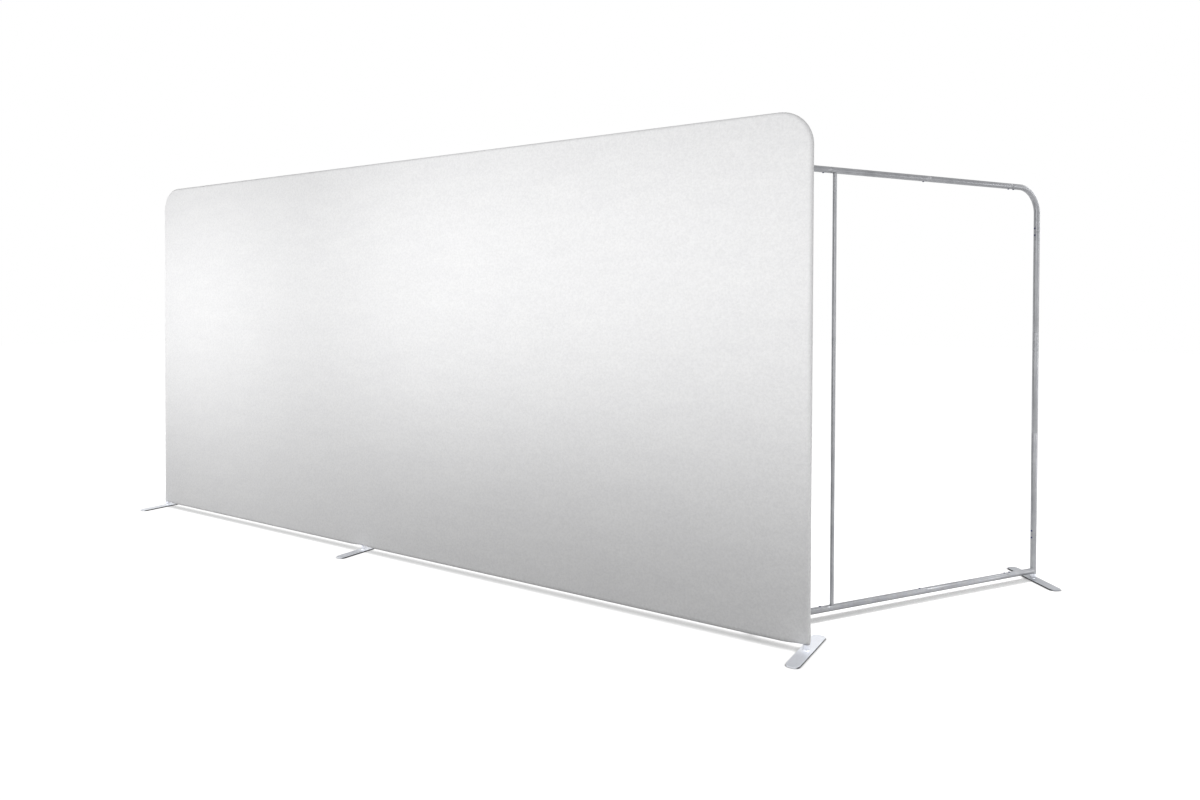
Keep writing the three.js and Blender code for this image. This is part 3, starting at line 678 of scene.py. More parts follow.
def roundedOutline(halfX, halfY, radius, perCorner=9):
    # corner centres plus radius * (cos, sin), starting at +x
    points = []
    for k, (sx, sy) in enumerate(((1, 1), (-1, 1), (-1, -1), (1, -1))):
        turn = k * quarter + np.linspace(0, quarter, perCorner)
        points.append(np.stack([sx * (halfX - radius) + radius * np.cos(turn),
                                sy * (halfY - radius) + radius * np.sin(turn)], 1))
        nextSx, nextSy = ((1, 1), (-1, 1), (-1, -1), (1, -1))[(k + 1) % 4]
        end = np.array([nextSx * (halfX - radius) + radius * np.cos(turn[-1]),
                        nextSy * (halfY - radius) + radius * np.sin(turn[-1])])
        steps = np.linspace(0, 1, 5)[1:-1, None]
        points.append(points[-1][-1] * (1 - steps) + end * steps)
    return np.concatenate(points)


footPoints = 48  # four corners of nine points and four sides of three


def footSolid(place, at, turn):
    # one skin from the middle of the underside, over the bevelled rim, in across the top
    # to the collar's concave cone and up the stub
    w, l, t, e = foot["width"] / 2, foot["length"] / 2, foot["thickness"], foot["edge"]
    rim = foot["corner"]
    loops = [(e + 0.6 * mm, 0.0), (e * 0.4, 0.25 * mm), (0, 1.0 * mm), (0, t - e),
             (e * 0.3, t - e * 0.3), (e, t), (e * 1.6, t)]
    rings = [np.column_stack([roundedOutline(w - inset, l - inset, rim - inset),
                              np.full(footPoints, z)]) for inset, z in loops]
    edge = rings[-1][:, :2]
    angle = math.radians(15) + np.arange(footPoints) * 2 * math.pi / footPoints
    circle = np.stack([np.cos(angle), np.sin(angle)], 1)
    for share in (0.45, 0.8, 1.0):
        flat = edge * (1 - share) + circle * foot["collar"] * share
        rings.append(np.column_stack([flat, np.full(footPoints, t)]))
    for share in np.linspace(0, 1, 7)[1:]:
        radius = tube["radius"] + (foot["collar"] - tube["radius"]) * (1 - share) ** 2
        height = np.full(footPoints, t + foot["collarHeight"] * share)
        rings.append(np.column_stack([circle * radius, height]))
    top = t + foot["collarHeight"]
    for radius, z in ((foot["stub"], top), (foot["stub"], top + foot["stubReach"] - 1.5 * mm),
                      (foot["stub"] - 1.5 * mm, top + foot["stubReach"])):
        rings.append(np.column_stack([circle * radius, np.full(footPoints, z)]))
    grid = np.stack(rings)
    count = len(grid) * footPoints
    last = count - footPoints
    points = np.concatenate([grid.reshape(-1, 3), [[0, 0, 0], [0, 0, top + foot["stubReach"]]]])
    faces = gridQuads(len(grid), footPoints, False, True).tolist()
    for k in range(footPoints):
        step = (k + 1) % footPoints
        faces.append([count, step, k])
        faces.append([count + 1, last + k, last + step])
    c, s = math.cos(math.radians(turn)), math.sin(math.radians(turn))
    turned = points @ np.array([[c, s, 0], [-s, c, 0], [0, 0, 1]])
    # painted side shade = depth of the ring on the side * |across part of the outline's own
    # normal|, so the long sides get painted shade
    outline = grid[3][:, :2]
    core = np.clip(outline, [rim - w, rim - l], [w - rim, l - rim])
    across = np.abs((outline - core)[:, 0]) / rim
    paintedSideShade = np.zeros(len(points))
    for ring, depth in enumerate((0.9, 1.0, 1.0, 1.0, 0.2)):
        paintedSideShade[ring * footPoints:(ring + 1) * footPoints] = depth * across ** 2
    return place(turned + np.array([at, 0, 0])), faces, paintedSideShade


def addFoot(name, place, at, turn, finish):
    points, faces, paintedSideShade = footSolid(place, at, turn)
    plate = addPiece(name + "_plate", points, faces, name, finish, [name], 32)
    # painted shade for the long side faces, stored on the mesh
    layer = plate.data.attributes.new("cutEdge", "FLOAT", "POINT")
    layer.data.foreach_set("value", paintedSideShade)


for name, x in (("left_foot", wall["postLeft"]), ("middle_foot", 0.0),
                ("right_foot", wall["postRight"])):
    addFoot(name, inWall, x, 0, "foot")
addFoot("return_foot", inReturn, returnRun, returnFootTurn, "returnPlate")
print("feet made")


# ---- both frames of tubes ----
down, up = (0, 0, -1), (0, 0, 1)
pegHole = 5.4 * mm
returnSeams = dict(first=419 * mm, second=1038 * mm, outer=returnRun - 200 * mm)
returnPosts = [wall["lowerPost"], 788 * mm, 1327 * mm,
               returnTop + tube["radius"] - wall["topPost"]]
rail = wall["lowerRail"]

buttons = []


def pairOf(name, seam, other, toward, post=False):
    for k, step in enumerate((-1, 1)):
        far = seam + step * snap["pair"]
        at = (other, 0, far) if post else (far, 0, other)
        buttons.append((f"{name}_{k + 1}", at, toward, (0, 0, 1) if post else (1, 0, 0)))


pairOf("button_top_corner", returnSeams["outer"], returnTop, down)
pairOf("button_lower_corner", returnSeams["outer"], rail, up)
pairOf("button_post_top", returnPosts[-1], returnRun, (-1, 0, 0), True)
pairOf("button_post_foot", returnPosts[0], returnRun, (-1, 0, 0), True)
for end, seam in (("outer", returnSeams["second"]), ("inner", returnSeams["first"])):
    at = seam - snap["single"]
    buttons.append((f"button_top_rail_{end}", (at, 0, returnTop), down, (1, 0, 0)))
    buttons.append((f"button_lower_rail_{end}", (at, 0, rail), up, (1, 0, 0)))

returnUpright = 448 * mm
returnDrills = [(at, toward, snap["hole"]) for _, at, toward, _ in buttons]
returnDrills += [((returnUpright, 0, returnTop), down, pegHole),
                 ((returnUpright, 0, rail), up, pegHole)]


def within(drills, low, high):
    low, high = np.array(low) - mm, np.array(high) + mm
    return [d for d in drills if np.all(np.array(d[0]) >= low) and np.all(np.array(d[0]) <= high)]


def addRail(place, body, name, x0, x1, z, male, drills):
    reach = tube["reach"]
    near = within(drills, (x0 - reach * male[0], 0, z), (x1 + reach * male[1], 0, z))
    straightTube(name, place, body, (x0, 0, z), (x1, 0, z), *male, "rail", near)


def addPosts(place, body, prefix, x, stops, drills):
    for k in range(len(stops) - 1):
        low = stops[k] - (tube["reach"] if k == 0 else 0)
        near = within(drills, (x, 0, low), (x, 0, stops[k + 1] + tube["reach"]))
        straightTube(f"{prefix}_{k + 1}", place, body, (x, 0, stops[k]), (x, 0, stops[k + 1]),
                     k == 0, True, "post", near)


def addCorners(place, body, prefix, side, post, topZ, leg, legZ, drills):
    low, high = sorted((post, leg))
    near = within(drills, (low, 0, legZ), (high, 0, topZ))
    topBend(f"{prefix}_top_bend", place, body, side, post, topZ, leg, legZ, near)
    near = within(drills, (low, 0, rail), (high, 0, wall["lowerPost"]))
    lowerCorner(f"{prefix}_lower_corner", place, body, side, post, leg, near)


for level, height in (("top", returnTop), ("lower", rail)):
    for k, start, end in ((1, "first", "second"), (2, "second", "outer")):
        addRail(inReturn, "return_frame", f"return_{level}_rail_{k}", returnSeams[start],
                returnSeams[end], height, (True, k == 2), returnDrills)
for prefix, side, post, leg in (("return_inner", -1, 0.0, returnSeams["first"]),
                                ("return_outer", 1, returnRun, returnSeams["outer"])):
    addPosts(inReturn, "return_frame", f"{prefix}_post", post, returnPosts, returnDrills)
    addCorners(inReturn, "return_frame", prefix, side, post, returnTop, leg, returnPosts[-1],
               returnDrills)
thinUpright("return_thin_upright", inReturn, "return_frame", returnUpright,
            rail + tube["radius"], returnTop - tube["radius"])
for name, at, toward, along in buttons:
    snapButton(name, inReturn, at, toward, along)
print("return frame made:", len(buttons), "buttons")

wallSeams = dict(left=-0.98, middle=0.13, right=1.32, post=1.15)
teeHalf, teeTop = 95 * mm, 110 * mm
wallUprights = (("left_thin_upright", -1.03), ("right_thin_upright", swingAt[0]))
wallDrills = [((x, 0, z), toward, pegHole) for _, x in wallUprights
              for z, toward in ((wall["topRail"], down), (rail, up))]
wallDrills.append(((0.0, 0, wall["topRail"]), down, pegHole))
topSeams = [wall["postLeft"] + wall["leg"], wallSeams["left"], wallSeams["middle"],
            wallSeams["right"], wall["postRight"] - wall["leg"]]
for k in range(4):
    addRail(inWall, "wall", f"top_rail_{k + 1}", topSeams[k], topSeams[k + 1], wall["topRail"],
            (True, k == 3), wallDrills)
lowerRails = [(topSeams[0], wallSeams["left"], True, True),
              (wallSeams["left"], -teeHalf, False, True),
              (teeHalf, wallSeams["right"], True, False),
              (wallSeams["right"], topSeams[-1], True, True)]
for k, (x0, x1, *male) in enumerate(lowerRails):
    addRail(inWall, "wall", f"lower_rail_{k + 1}", x0, x1, rail, male, wallDrills)
wallPosts = [wall["lowerPost"], wallSeams["post"],
             wall["topRail"] + tube["radius"] - wall["topPost"]]
for prefix, side, post in (("left", -1, wall["postLeft"]), ("right", 1, wall["postRight"])):
    leg = post - side * wall["leg"]
    addPosts(inWall, "wall", f"{prefix}_post", post, wallPosts, wallDrills)
    addCorners(inWall, "wall", prefix, side, post, wall["topRail"], leg, wallPosts[-1],
               wallDrills)
for name, x in wallUprights:
    thinUpright(name, inWall, "wall", x, rail + tube["radius"], wall["topRail"] - tube["radius"])
thinUpright("middle_thin_upright", inWall, "wall", 0.0, teeTop,
            wall["topRail"] - tube["radius"], True)
print("wall frame made")


# ---- cover ----
cover = dict(radius=clothRadius, cloth=0.9 * mm, step=26 * mm, hole=15.4 * mm, halfGap=0.1 * mm,
             zipBottom=62 * mm, zipTop=84.3 * mm, zipLeft=-1.996, zipRight=2.638,
             droopLeft=4 * mm, droopRight=6.5 * mm, bulge=3.5 * mm, bulgeAt=66 * mm,
             bulgeSpread=34 * mm, crease=1.8 * mm, fade=90 * mm, slitHalf=7.5 * mm,
             slits=((298.5 * mm, 331.5 * mm), (1698.5 * mm, 1731.5 * mm)))


def evenLines(low, high, step, fixed):
    # evenly spaced lines, less those too near a fixed one, plus the fixed ones
    fixed = np.array(sorted(fixed))
    lines = np.linspace(low, high, int(round((high - low) / step)) + 1)
    keep = [v for v in lines if np.min(np.abs(fixed - v)) > 0.35 * step]
    return np.array(sorted(set(keep) | set(fixed.tolist())))


def columnLines():
    left, right, hole = wall["postLeft"], wall["postRight"], cover["hole"]
    near = hole * np.sin(np.linspace(0, quarter, 7))
    fixed = [left + d for d in near] + [right - d for d in near]
    fixed += list(near) + [-d for d in near[1:]]
    fixed += [left + k * 9 * mm for k in range(3, 9)] + [right - k * 9 * mm for k in range(3, 9)]
    fixed += [cover["zipLeft"] - 0.3 * mm, cover["zipRight"] + 0.3 * mm]
    fixed += [swingAt[0] - cover["slitHalf"], swingAt[0] + cover["slitHalf"]]
    return evenLines(left, right, cover["step"], fixed)


def rowLines(bottom, fixed):
    arcStart = wall["topRail"] - wall["bend"]
    arc = arcStart + wall["bend"] * np.sin(np.linspace(0, quarter, 17))
    lines = evenLines(bottom, arcStart, cover["step"], [bottom, arcStart, *fixed])
    return np.concatenate([lines, arc[1:]])


def ripple(x, z, side):
    # height of the cloth off its plane, in metres; zero on the tubes all round
    inX = np.minimum(x - wall["postLeft"], wall["postRight"] - x)
    inZ = np.minimum(z - wall["lowerRail"], wall["topRail"] - z)
    edge = np.clip(np.minimum(inX, inZ) / cover["fade"], 0, 1)
    fade = edge * edge * (3 - 2 * edge)
    slack = 0.35 * mm * np.sin(7.1 * x + 1.3 + 0.8 * np.sin(2.3 * z))
    slack += 0.25 * mm * np.sin(4.3 * z + 2.1 * x + 0.6)
    total = slack
    for cornerX, reachIn in ((wall["postLeft"], 1), (wall["postRight"], -1)):
        dx, dz = (x - cornerX) * reachIn, z - wall["lowerRail"]
        distance = np.hypot(dx, dz) + 1e-6
        turn = np.arctan2(dz, dx)
        pull = np.exp(-distance / (260 * mm)) * (0.9 * mm) * np.sin(11 * turn + side)
        total = total + pull * np.clip(distance / (60 * mm), 0, 1)
    return total * fade


hemTop = 61.7 * mm


def settled(points):
    # hem: lowered by droop * smoothstep of the height below the zip, nothing at the feet;
    # lower corners: pushed out by bulge * exp(-(height / spread) ^ 2), with a pinched crease
    x, y, z = points.T.copy()
    away = np.min([np.abs(x - at) for at in (wall["postLeft"], 0.0, wall["postRight"])], 0)
    open_ = np.clip((away - cover["hole"]) / cover["fade"], 0, 1)
    low = np.clip((hemTop - z) / (hemTop - wall["lowerRail"] + cover["radius"]), 0, 1)
    along = np.clip((x - wall["postLeft"]) / (wall["postRight"] - wall["postLeft"]), 0, 1)
    droop = (cover["droopLeft"] * (1 - along) + cover["droopRight"] * along)
    z = z - droop * open_ ** 2 * (3 - 2 * open_) * low ** 2 * (3 - 2 * low)
    for post, out in ((wall["postLeft"], -1), (wall["postRight"], 1)):
        near = np.clip(1 - np.abs(x - post) / (45 * mm), 0, 1)
        high = (z - cover["bulgeAt"]) / cover["bulgeSpread"]
        x = x + out * cover["bulge"] * near * np.exp(-high ** 2)
        inward, rise = (post - x) * out, z - wall["lowerRail"]
        across = (inward * 0.75 - rise * 0.66) / (9 * mm)
        reach = np.exp(-((np.hypot(inward, rise) - 34 * mm) / (26 * mm)) ** 2)
        front = y < -0.8 * cover["radius"]
        y = y - front * cover["crease"] * reach * np.exp(-across ** 2)
    return np.stack([x, y, z], 1)


def halfPanel(side, bottom, rowsFixed, drop, loops, seamGap):
    # flat part: point = (x of column in row, -side * radius + ripple, z of row), then strips
    # that roll over the tubes: axis + radius * (outward * sin(turn) + face * cos(turn))
    columns = columnLines()
    share = (columns - columns[0]) / (columns[-1] - columns[0])
    rows = rowLines(bottom, rowsFixed) if loops["top"] else np.array(rowsFixed)
    radius, bend = cover["radius"], wall["bend"]
    arcStart = wall["topRail"] - bend
    into = bend - np.sqrt(np.maximum(bend ** 2 - np.clip(rows - arcStart, 0, bend) ** 2, 0))
    left, right = wall["postLeft"] + into, wall["postRight"] - into
    x = left[:, None] + (right - left)[:, None] * share[None, :]
    z = np.repeat(rows[:, None], len(columns), 1)
    y = -side * (radius + ripple(x, z, side))
    vertices = [np.stack([x, y, z], -1).reshape(-1, 3)]
    count = len(columns)
    quads = gridQuads(len(rows), count)
    middleX = x.reshape(-1)[quads].mean(1)
    middleZ = z.reshape(-1)[quads].mean(1)
    faces = quads[~drop(middleX, middleZ)].tolist()

    up = np.arange(len(rows))
    sineOut = np.clip((rows - arcStart) / bend, 0, 1)
    cosineOut = np.sqrt(1 - sineOut ** 2)
    loop = []
    for k in up:
        loop.append((k * count, -cosineOut[k], sineOut[k], quarter))
    if loops["top"]:
        top = (len(rows) - 1) * count
        loop += [(top + j, 0.0, 1.0, quarter) for j in range(1, count)]
    for k in up[::-1][1 if loops["top"] else 0:]:
        loop.append((k * count + count - 1, cosineOut[k], sineOut[k], quarter))
    lower = []
    if loops["bottom"]:
        for beta in np.linspace(0, quarter, 9)[1:-1]:
            lower.append((count - 1, math.cos(beta), -math.sin(beta), cornerEnd(beta)))
        lower += [(j, 0.0, -1.0, underEnd(columns[j])) for j in range(count)[::-1]]
        for beta in np.linspace(quarter, 0, 9)[1:-1]:
            lower.append((0, -math.cos(beta), -math.sin(beta), cornerEnd(beta)))
        if loops["top"]:
            loop += lower + [loop[0]]
        else:
            half = len(up)
            loop = loop[:half][::-1] + lower[::-1] + loop[half:][::-1]
    first = np.array([item[0] for item in loop])
    outX, outZ, ends = (np.array([item[k] for item in loop]) for k in (1, 2, 3))
    axis = vertices[0][first] * [1, 0, 1]
    steps = 7
    rings = [first]
    offset = len(vertices[0])
    ends = np.where(ends >= quarter - 1e-6, quarter - seamGap / radius, ends)
    for step in range(1, steps + 1):
        turn = ends * step / steps
        ring = axis + radius * np.stack([outX * np.sin(turn), -side * np.cos(turn),
                                         outZ * np.sin(turn)], 1)
        vertices.append(ring)
        rings.append(offset + np.arange(len(loop)))
        offset += len(loop)
    for low, high in zip(rings[:-1], rings[1:]):
        for k in range(len(loop) - 1):
            face = [low[k], high[k], high[k + 1], low[k + 1]]
            if face[0] == face[3]:
                face = face[:3]
            faces.append([int(v) for v in face])
    return settled(np.concatenate(vertices)), faces


def cornerEnd(beta):
    # the corner's ball stops where it meets the hole round the post
    rise = math.sqrt(1 - (cover["hole"] / cover["radius"]) ** 2)
    return math.asin(min(1.0, rise / max(math.sin(beta), 1e-9)))


def underEnd(x):
    # the strip under the rail stops at the hole's edge: cos(turn) = across / radius
    away = min(abs(x - at) for at in (wall["postLeft"], 0.0, wall["postRight"]))
    if away >= cover["hole"] - 1e-6:
        return quarter
    return math.acos(math.sqrt(cover["hole"] ** 2 - away ** 2) / cover["radius"])


def keepAll(x, z):
    # no face is dropped
    return np.zeros(len(x), bool)


def zipAndSlits(x, z):
    # faces where the zip sits, and the two slits that the clips' arms pass through
    gone = (z < cover["zipTop"]) & (x > cover["zipLeft"] - mm) & (x < cover["zipRight"] + mm)
    for low, high in cover["slits"]:
        gone |= (np.abs(x - swingAt[0]) < cover["slitHalf"]) & (z > low) & (z < high)
    return gone


def sheetPiece(name, parts, replaced):
    points, faces = merged(parts)
    obj = addPiece(name, points, faces, "wall", "cover", [replaced], 60, False)
    shell = bmesh.new()
    shell.from_mesh(obj.data)
    bmesh.ops.remove_doubles(shell, verts=shell.verts[:], dist=0.02 * mm)
    loose = [v for v in shell.verts if not v.link_faces]
    bmesh.ops.delete(shell, geom=loose, context="VERTS")
    bmesh.ops.recalc_face_normals(shell, faces=shell.faces[:])
    tall = max(shell.faces, key=lambda f: f.calc_area())
    facing = tall.normal.y * (1 if tall.calc_center_median().y > 0 else -1)
    if facing < 0:
        bmesh.ops.reverse_faces(shell, faces=shell.faces[:])
    for edge in shell.edges:
        # cut edges stay crisp once the cloth has its thickness
        edge.smooth = edge.smooth and not edge.is_boundary
    shell.to_mesh(obj.data)
    shell.free()
    thick = obj.modifiers.new("cloth", "SOLIDIFY")
    thick.thickness = cover["cloth"]
    thick.offset = -1
    return obj


hemRows = [wall["lowerRail"], 57.3 * mm, hemTop]
cornerRows = [(69 + 8 * k) * mm for k in range(7)]
front = halfPanel(1, wall["lowerRail"], hemRows + cornerRows, keepAll,
                  dict(top=True, bottom=True), 0.0)
hem = halfPanel(-1, wall["lowerRail"], hemRows, keepAll, dict(top=False, bottom=True), 0.0)
backRows = [cover["zipTop"], *cover["slits"][0], *cover["slits"][1]]
back = halfPanel(-1, cover["zipBottom"], backRows, zipAndSlits,
                 dict(top=True, bottom=False), cover["halfGap"])
coverFront = sheetPiece("cover_front", [front, hem], "cover_front_panel")
coverBack = sheetPiece("cover_back", [back], "cover_back_panel")
print("cover made:", len(coverFront.data.polygons), len(coverBack.data.polygons), "faces")


# ---- the tee over the middle foot ----
def middleTee():
    # rail tube with a blind bore from each end, and a stem that the foot's stub goes up
    half, r, b, e = teeHalf - tube["halfGap"], tube["radius"], tube["bore"], tube["edge"]
    blind, neck, web = corner["back"], corner["neck"], teeTop - 6 * mm
    across = [(0, -blind), (b, -blind), (b, -half), (r - e, -half), (r, -half + e),
              (r, half - e), (r - e, half), (b, half), (b, blind), (0, blind)]
    centres, inwards = straightPath([d for _, d in across], [0, 0, rail], xAxis, zAxis)
    bar = sweep(across, centres, inwards, yAxis, tube["sides"], False)
    upward = [(0, corner["collarTop"]), (neck - e, corner["collarTop"]),
              (neck, corner["collarTop"] + e), (neck, teeTop - e),
              (neck - e, teeTop), (0, teeTop)]
    centres, inwards = straightPath([d for _, d in upward], [0, 0, 0], zAxis, xAxis)
    stem = sweep(upward, centres, inwards, yAxis, tube["sides"], False)
    points, faces = merged([bar, stem])
    obj = addPiece("middle_tee_fitting", points, faces, "wall", "fitting",
                   ["middle_tee"])
    turnEach(obj.data)
    drilled(obj, [((0, 0, 0), (0, 0, 1), tube["bore"])], 38, web)
    drilled(obj, [((0, 0, web - mm), (0, 0, 1), pegHole)], 38, 9 * mm)


middleTee()
print("middle tee made")


# ---- clips that hold the return frame, and the glide under its inner post ----
clip = dict(small=9.9 * mm, large=15.4 * mm, wall=3 * mm, standoff=72 * mm, arm=6 * mm,
            mouth=50, height=30 * mm, round=0.7 * mm, heights=(0.3, 1.7))


def arcPoints(centreY, radius, first, last, count):
    turn = np.radians(np.linspace(first, last, count))
    return np.stack([radius * np.cos(turn), centreY + radius * np.sin(turn)], 1)


def lipPoints(centreY, inner, angle, outward):
    # half circle that rounds off the end of a jaw, from its outer to its inner side
    middle = inner + clip["wall"] / 2
    turn = np.radians(np.linspace(20, 160, 7))
    away = math.radians(angle)
    radial = np.array([math.cos(away), math.sin(away)])
    onward = np.array([-math.sin(away), math.cos(away)]) * outward
    bulb = clip["wall"] / 2
    return (np.array([0, centreY]) + radial * middle
            + bulb * (np.cos(turn)[:, None] * radial + np.sin(turn)[:, None] * onward))


def clipOutline():
    # two open rings joined by an arm, walked once round from the small ring's right lip
    small, large, thick = clip["small"], clip["large"], clip["wall"]
    far, open_ = clip["standoff"], clip["mouth"]
    smallArm = math.degrees(math.acos(clip["arm"] / (small + thick)))
    largeArm = math.degrees(math.acos(clip["arm"] / (large + thick)))
    parts = [
        arcPoints(0, small + thick, open_ - 90, smallArm, 14),
        arcPoints(far, large + thick, -largeArm, 90 - open_, 16),
        lipPoints(far, large, 90 - open_, 1),
        arcPoints(far, large, 90 - open_, open_ - 270, 40),
        lipPoints(far, large, 90 + open_, -1)[::-1],
        arcPoints(far, large + thick, 90 + open_, 180 + largeArm, 16),
        arcPoints(0, small + thick, 180 - smallArm, 270 - open_, 14),
        lipPoints(0, small, 270 - open_, 1),
        arcPoints(0, small, 270 - open_, open_ - 90, 32),
        lipPoints(0, small, open_ - 90, -1)[::-1],
    ]
    outline = np.concatenate(parts)
    step = np.linalg.norm(outline - np.roll(outline, 1, 0), axis=1)
    return outline[step > 0.15 * mm]


def prism(outline, low, high, axis):
    # outline carried straight along one axis, closed by a flat face at each end
    count = len(outline)
    ends = []
    for at in (low, high):
        ends.append(np.insert(outline, axis, at, axis=1))
    faces = gridQuads(2, count, False, True).tolist()
    faces += endCaps(2, count)
    return np.concatenate(ends), faces


def rounded(obj, width, segments=3):
    bevel = obj.modifiers.new("rounded edges", "BEVEL")
    bevel.width = width
    bevel.segments = segments
    bevel.limit_method = "ANGLE"
    bevel.angle_limit = math.radians(50)


for name, height in zip(("link_clip_lower", "link_clip_upper"), clip["heights"]):
    outline = clipOutline() + [swingAt[0], 0]
    points, faces = prism(outline, height, height + clip["height"], 2)
    piece = addPiece(name + "_jaws", points, faces, "wall", "nylon", [name], 50)
    turnEach(piece.data)
    rounded(piece, clip["round"])

# dome of the glide: radius = tip + (tube - tip) * cos(turn), height = rise * (1 - sin(turn))
glide = dict(tip=8 * mm, rise=10 * mm, collar=15 * mm, plug=12.8 * mm, top=75 * mm)
turn = np.linspace(quarter, 0, 9)[1:]
profile = [(0, 0), (glide["tip"], 0)]
profile += [(glide["tip"] + (tube["radius"] - glide["tip"]) * math.cos(t),
             glide["rise"] * (1 - math.sin(t))) for t in turn]
profile += [(tube["radius"], glide["collar"] - 0.5 * mm),
            (tube["radius"] - 0.5 * mm, glide["collar"]),
            (glide["plug"], glide["collar"]), (glide["plug"], glide["top"] - 1.5 * mm),
            (glide["plug"] - 1.5 * mm, glide["top"]), (0, glide["top"])]
centres, inwards = straightPath([d for _, d in profile], returnOrigin, zAxis, returnX)
points, faces = sweep(profile, centres, inwards, returnY, tube["sides"], False)
addPiece("return_floor_glide_dome", points, faces, "return_frame", "pale",
         ["return_floor_glide"])
print("clips and glide made")


# ---- the zip ----
zipper = dict(low=62 * mm, high=84 * mm, face=clothRadius, thick=1 * mm, pitch=1.6 * mm,
              coilHalf=2.5 * mm, coilDepth=2.4 * mm, wire=0.55 * mm)
zipMiddle = (zipper["low"] + zipper["high"]) / 2


def bars(x, halfLength, radius, depth, y, z, sides=6):
    # one small rounded bar for each x: an ellipse across, carried along z in four rings
    angle = np.arange(sides) * 2 * math.pi / sides
    along = np.array([-1.0, -0.8, 0.8, 1.0]) * halfLength
    swell = np.array([0.45, 1.0, 1.0, 0.45])
    dx = radius * swell[:, None] * np.cos(angle)
    dy = depth * swell[:, None] * np.sin(angle)
    points = np.zeros((len(x), 4, sides, 3))
    points[..., 0] = np.asarray(x)[:, None, None] + dx
    points[..., 1] = y + dy
    points[..., 2] = np.broadcast_to(np.asarray(z, float), len(x))[:, None, None] + along[:, None]
    quads = gridQuads(4, sides, False, True)
    count = 4 * sides
    offset = (np.arange(len(x)) * count)[:, None, None]
    faces = (quads[None] + offset).reshape(-1, 4).tolist()
    low = np.arange(sides)[::-1][None] + offset[:, :, 0]
    high = np.arange(count - sides, count)[None] + offset[:, :, 0]
    return points.reshape(-1, 3), faces + low.tolist() + high.tolist()


def zipPieces():
    left, right = cover["zipLeft"], cover["zipRight"]
    face, low, high = zipper["face"], zipper["low"], zipper["high"]
    e = 0.3 * mm
    outline = np.array([(face - zipper["thick"], low), (face - e, low), (face, low + e),
                        (face, high - e), (face - e, high), (face - zipper["thick"], high)])
    tape = prism(outline, left, right, 0)
    inside = np.array([(face - e, zipMiddle - 2.5 * mm), (face + 0.5 * mm, zipMiddle - 2.2 * mm),
                       (face + 0.5 * mm, zipMiddle + 2.2 * mm), (face - e, zipMiddle + 2.5 * mm)])
    cord = prism(inside, left, right, 0)
    points, faces = merged([tape, cord])
    tapePiece = addPiece("zip_tape_weave", points, faces, "wall", "tape",
                         ["zip_tape"], 30)
    turnEach(tapePiece.data)
    count = int((right - left - 6 * mm) / zipper["pitch"])
    x = left + 3 * mm + zipper["pitch"] * np.arange(count)
    lean = 0.35 * mm * (np.arange(count) % 2 * 2 - 1)
    points, faces = bars(x, zipper["coilHalf"] - 0.4 * mm, zipper["wire"],
                         (zipper["coilDepth"] - 0.2 * mm) / 2, face + 1.2 * mm, zipMiddle + lean)
    addPiece("zip_coil", points, faces, "wall", "coil")


zipPieces()


slider = dict(middle=cover["zipLeft"] + 30 * mm, inner=17.1 * mm, face=24.1 * mm, channel=2.9 * mm,
              roof=19.7 * mm, half=11 * mm, wide=6.5 * mm, narrow=5.2 * mm, rise=5.2 * mm,
              leg=5 * mm, bar=1 * mm)


def sliderPiece():
    # heart-shaped body over the coil, two side flanges and a round-wired bridge
    h, wide, narrow = slider["half"], slider["wide"], slider["narrow"]
    body = np.array([(-h, -narrow + mm), (-h + mm, -narrow), (0, -wide + 0.3 * mm), (4 * mm, -wide),
                     (h - 2 * mm, -wide), (h, -wide + 2 * mm), (h, wide - 2 * mm),
                     (h - 2 * mm, wide), (4 * mm, wide), (0, wide - 0.3 * mm), (-h + mm, narrow),
                     (-h, narrow - mm)]) + [slider["middle"], zipMiddle]
    parts = [prism(body, slider["roof"], slider["face"], 1)]
    for sign in (-1, 1):
        inside = slider["channel"] * sign
        flange = np.array([(-h + mm, inside), (h - mm, inside), (h - mm, sign * (wide - 1.5 * mm)),
                           (h - 3 * mm, sign * wide), (4 * mm, sign * wide),
                           (-h + mm, sign * narrow)]) + [slider["middle"], zipMiddle]
        parts.append(prism(flange[::sign], slider["inner"], slider["roof"] + 0.2 * mm, 1))
    points, faces = merged(parts)
    piece = addPiece("zip_slider_body", points, faces, "zip_slider", "zinc",
                     ["zip_slider"], 40)
    turnEach(piece.data)
    rounded(piece, 0.5 * mm, 2)
    turn = np.linspace(0, math.pi, 13)
    leg, rise, bar = slider["leg"], slider["rise"], slider["bar"]
    flat = leg - 2 * mm
    path = [(-leg, -0.5 * mm), (-leg, rise - mm)]
    path += [(math.copysign(flat, -math.cos(t)) - 2 * mm * math.cos(t),
              rise - mm + 2 * mm * math.sin(t)) for t in turn]
    path += [(leg, rise - mm), (leg, -0.5 * mm)]
    path = np.array(path)
    centres = np.column_stack([path[:, 0] + slider["middle"], path[:, 1] + slider["face"],
                               np.full(len(path), zipMiddle)])
    heading = np.gradient(path, axis=0)
    heading /= np.linalg.norm(heading, axis=1)[:, None]
    inwards = np.column_stack([-heading[:, 1], heading[:, 0], 0 * heading[:, 0]])
    radii = [(0, 0)] + [(bar, 0)] * (len(path) - 2) + [(0, 0)]
    points, faces = sweep(radii, centres, inwards, zAxis, 12, False)
    bridge = addPiece("zip_slider_bridge", points, faces, "zip_slider", "zinc")
    turnEach(bridge.data)


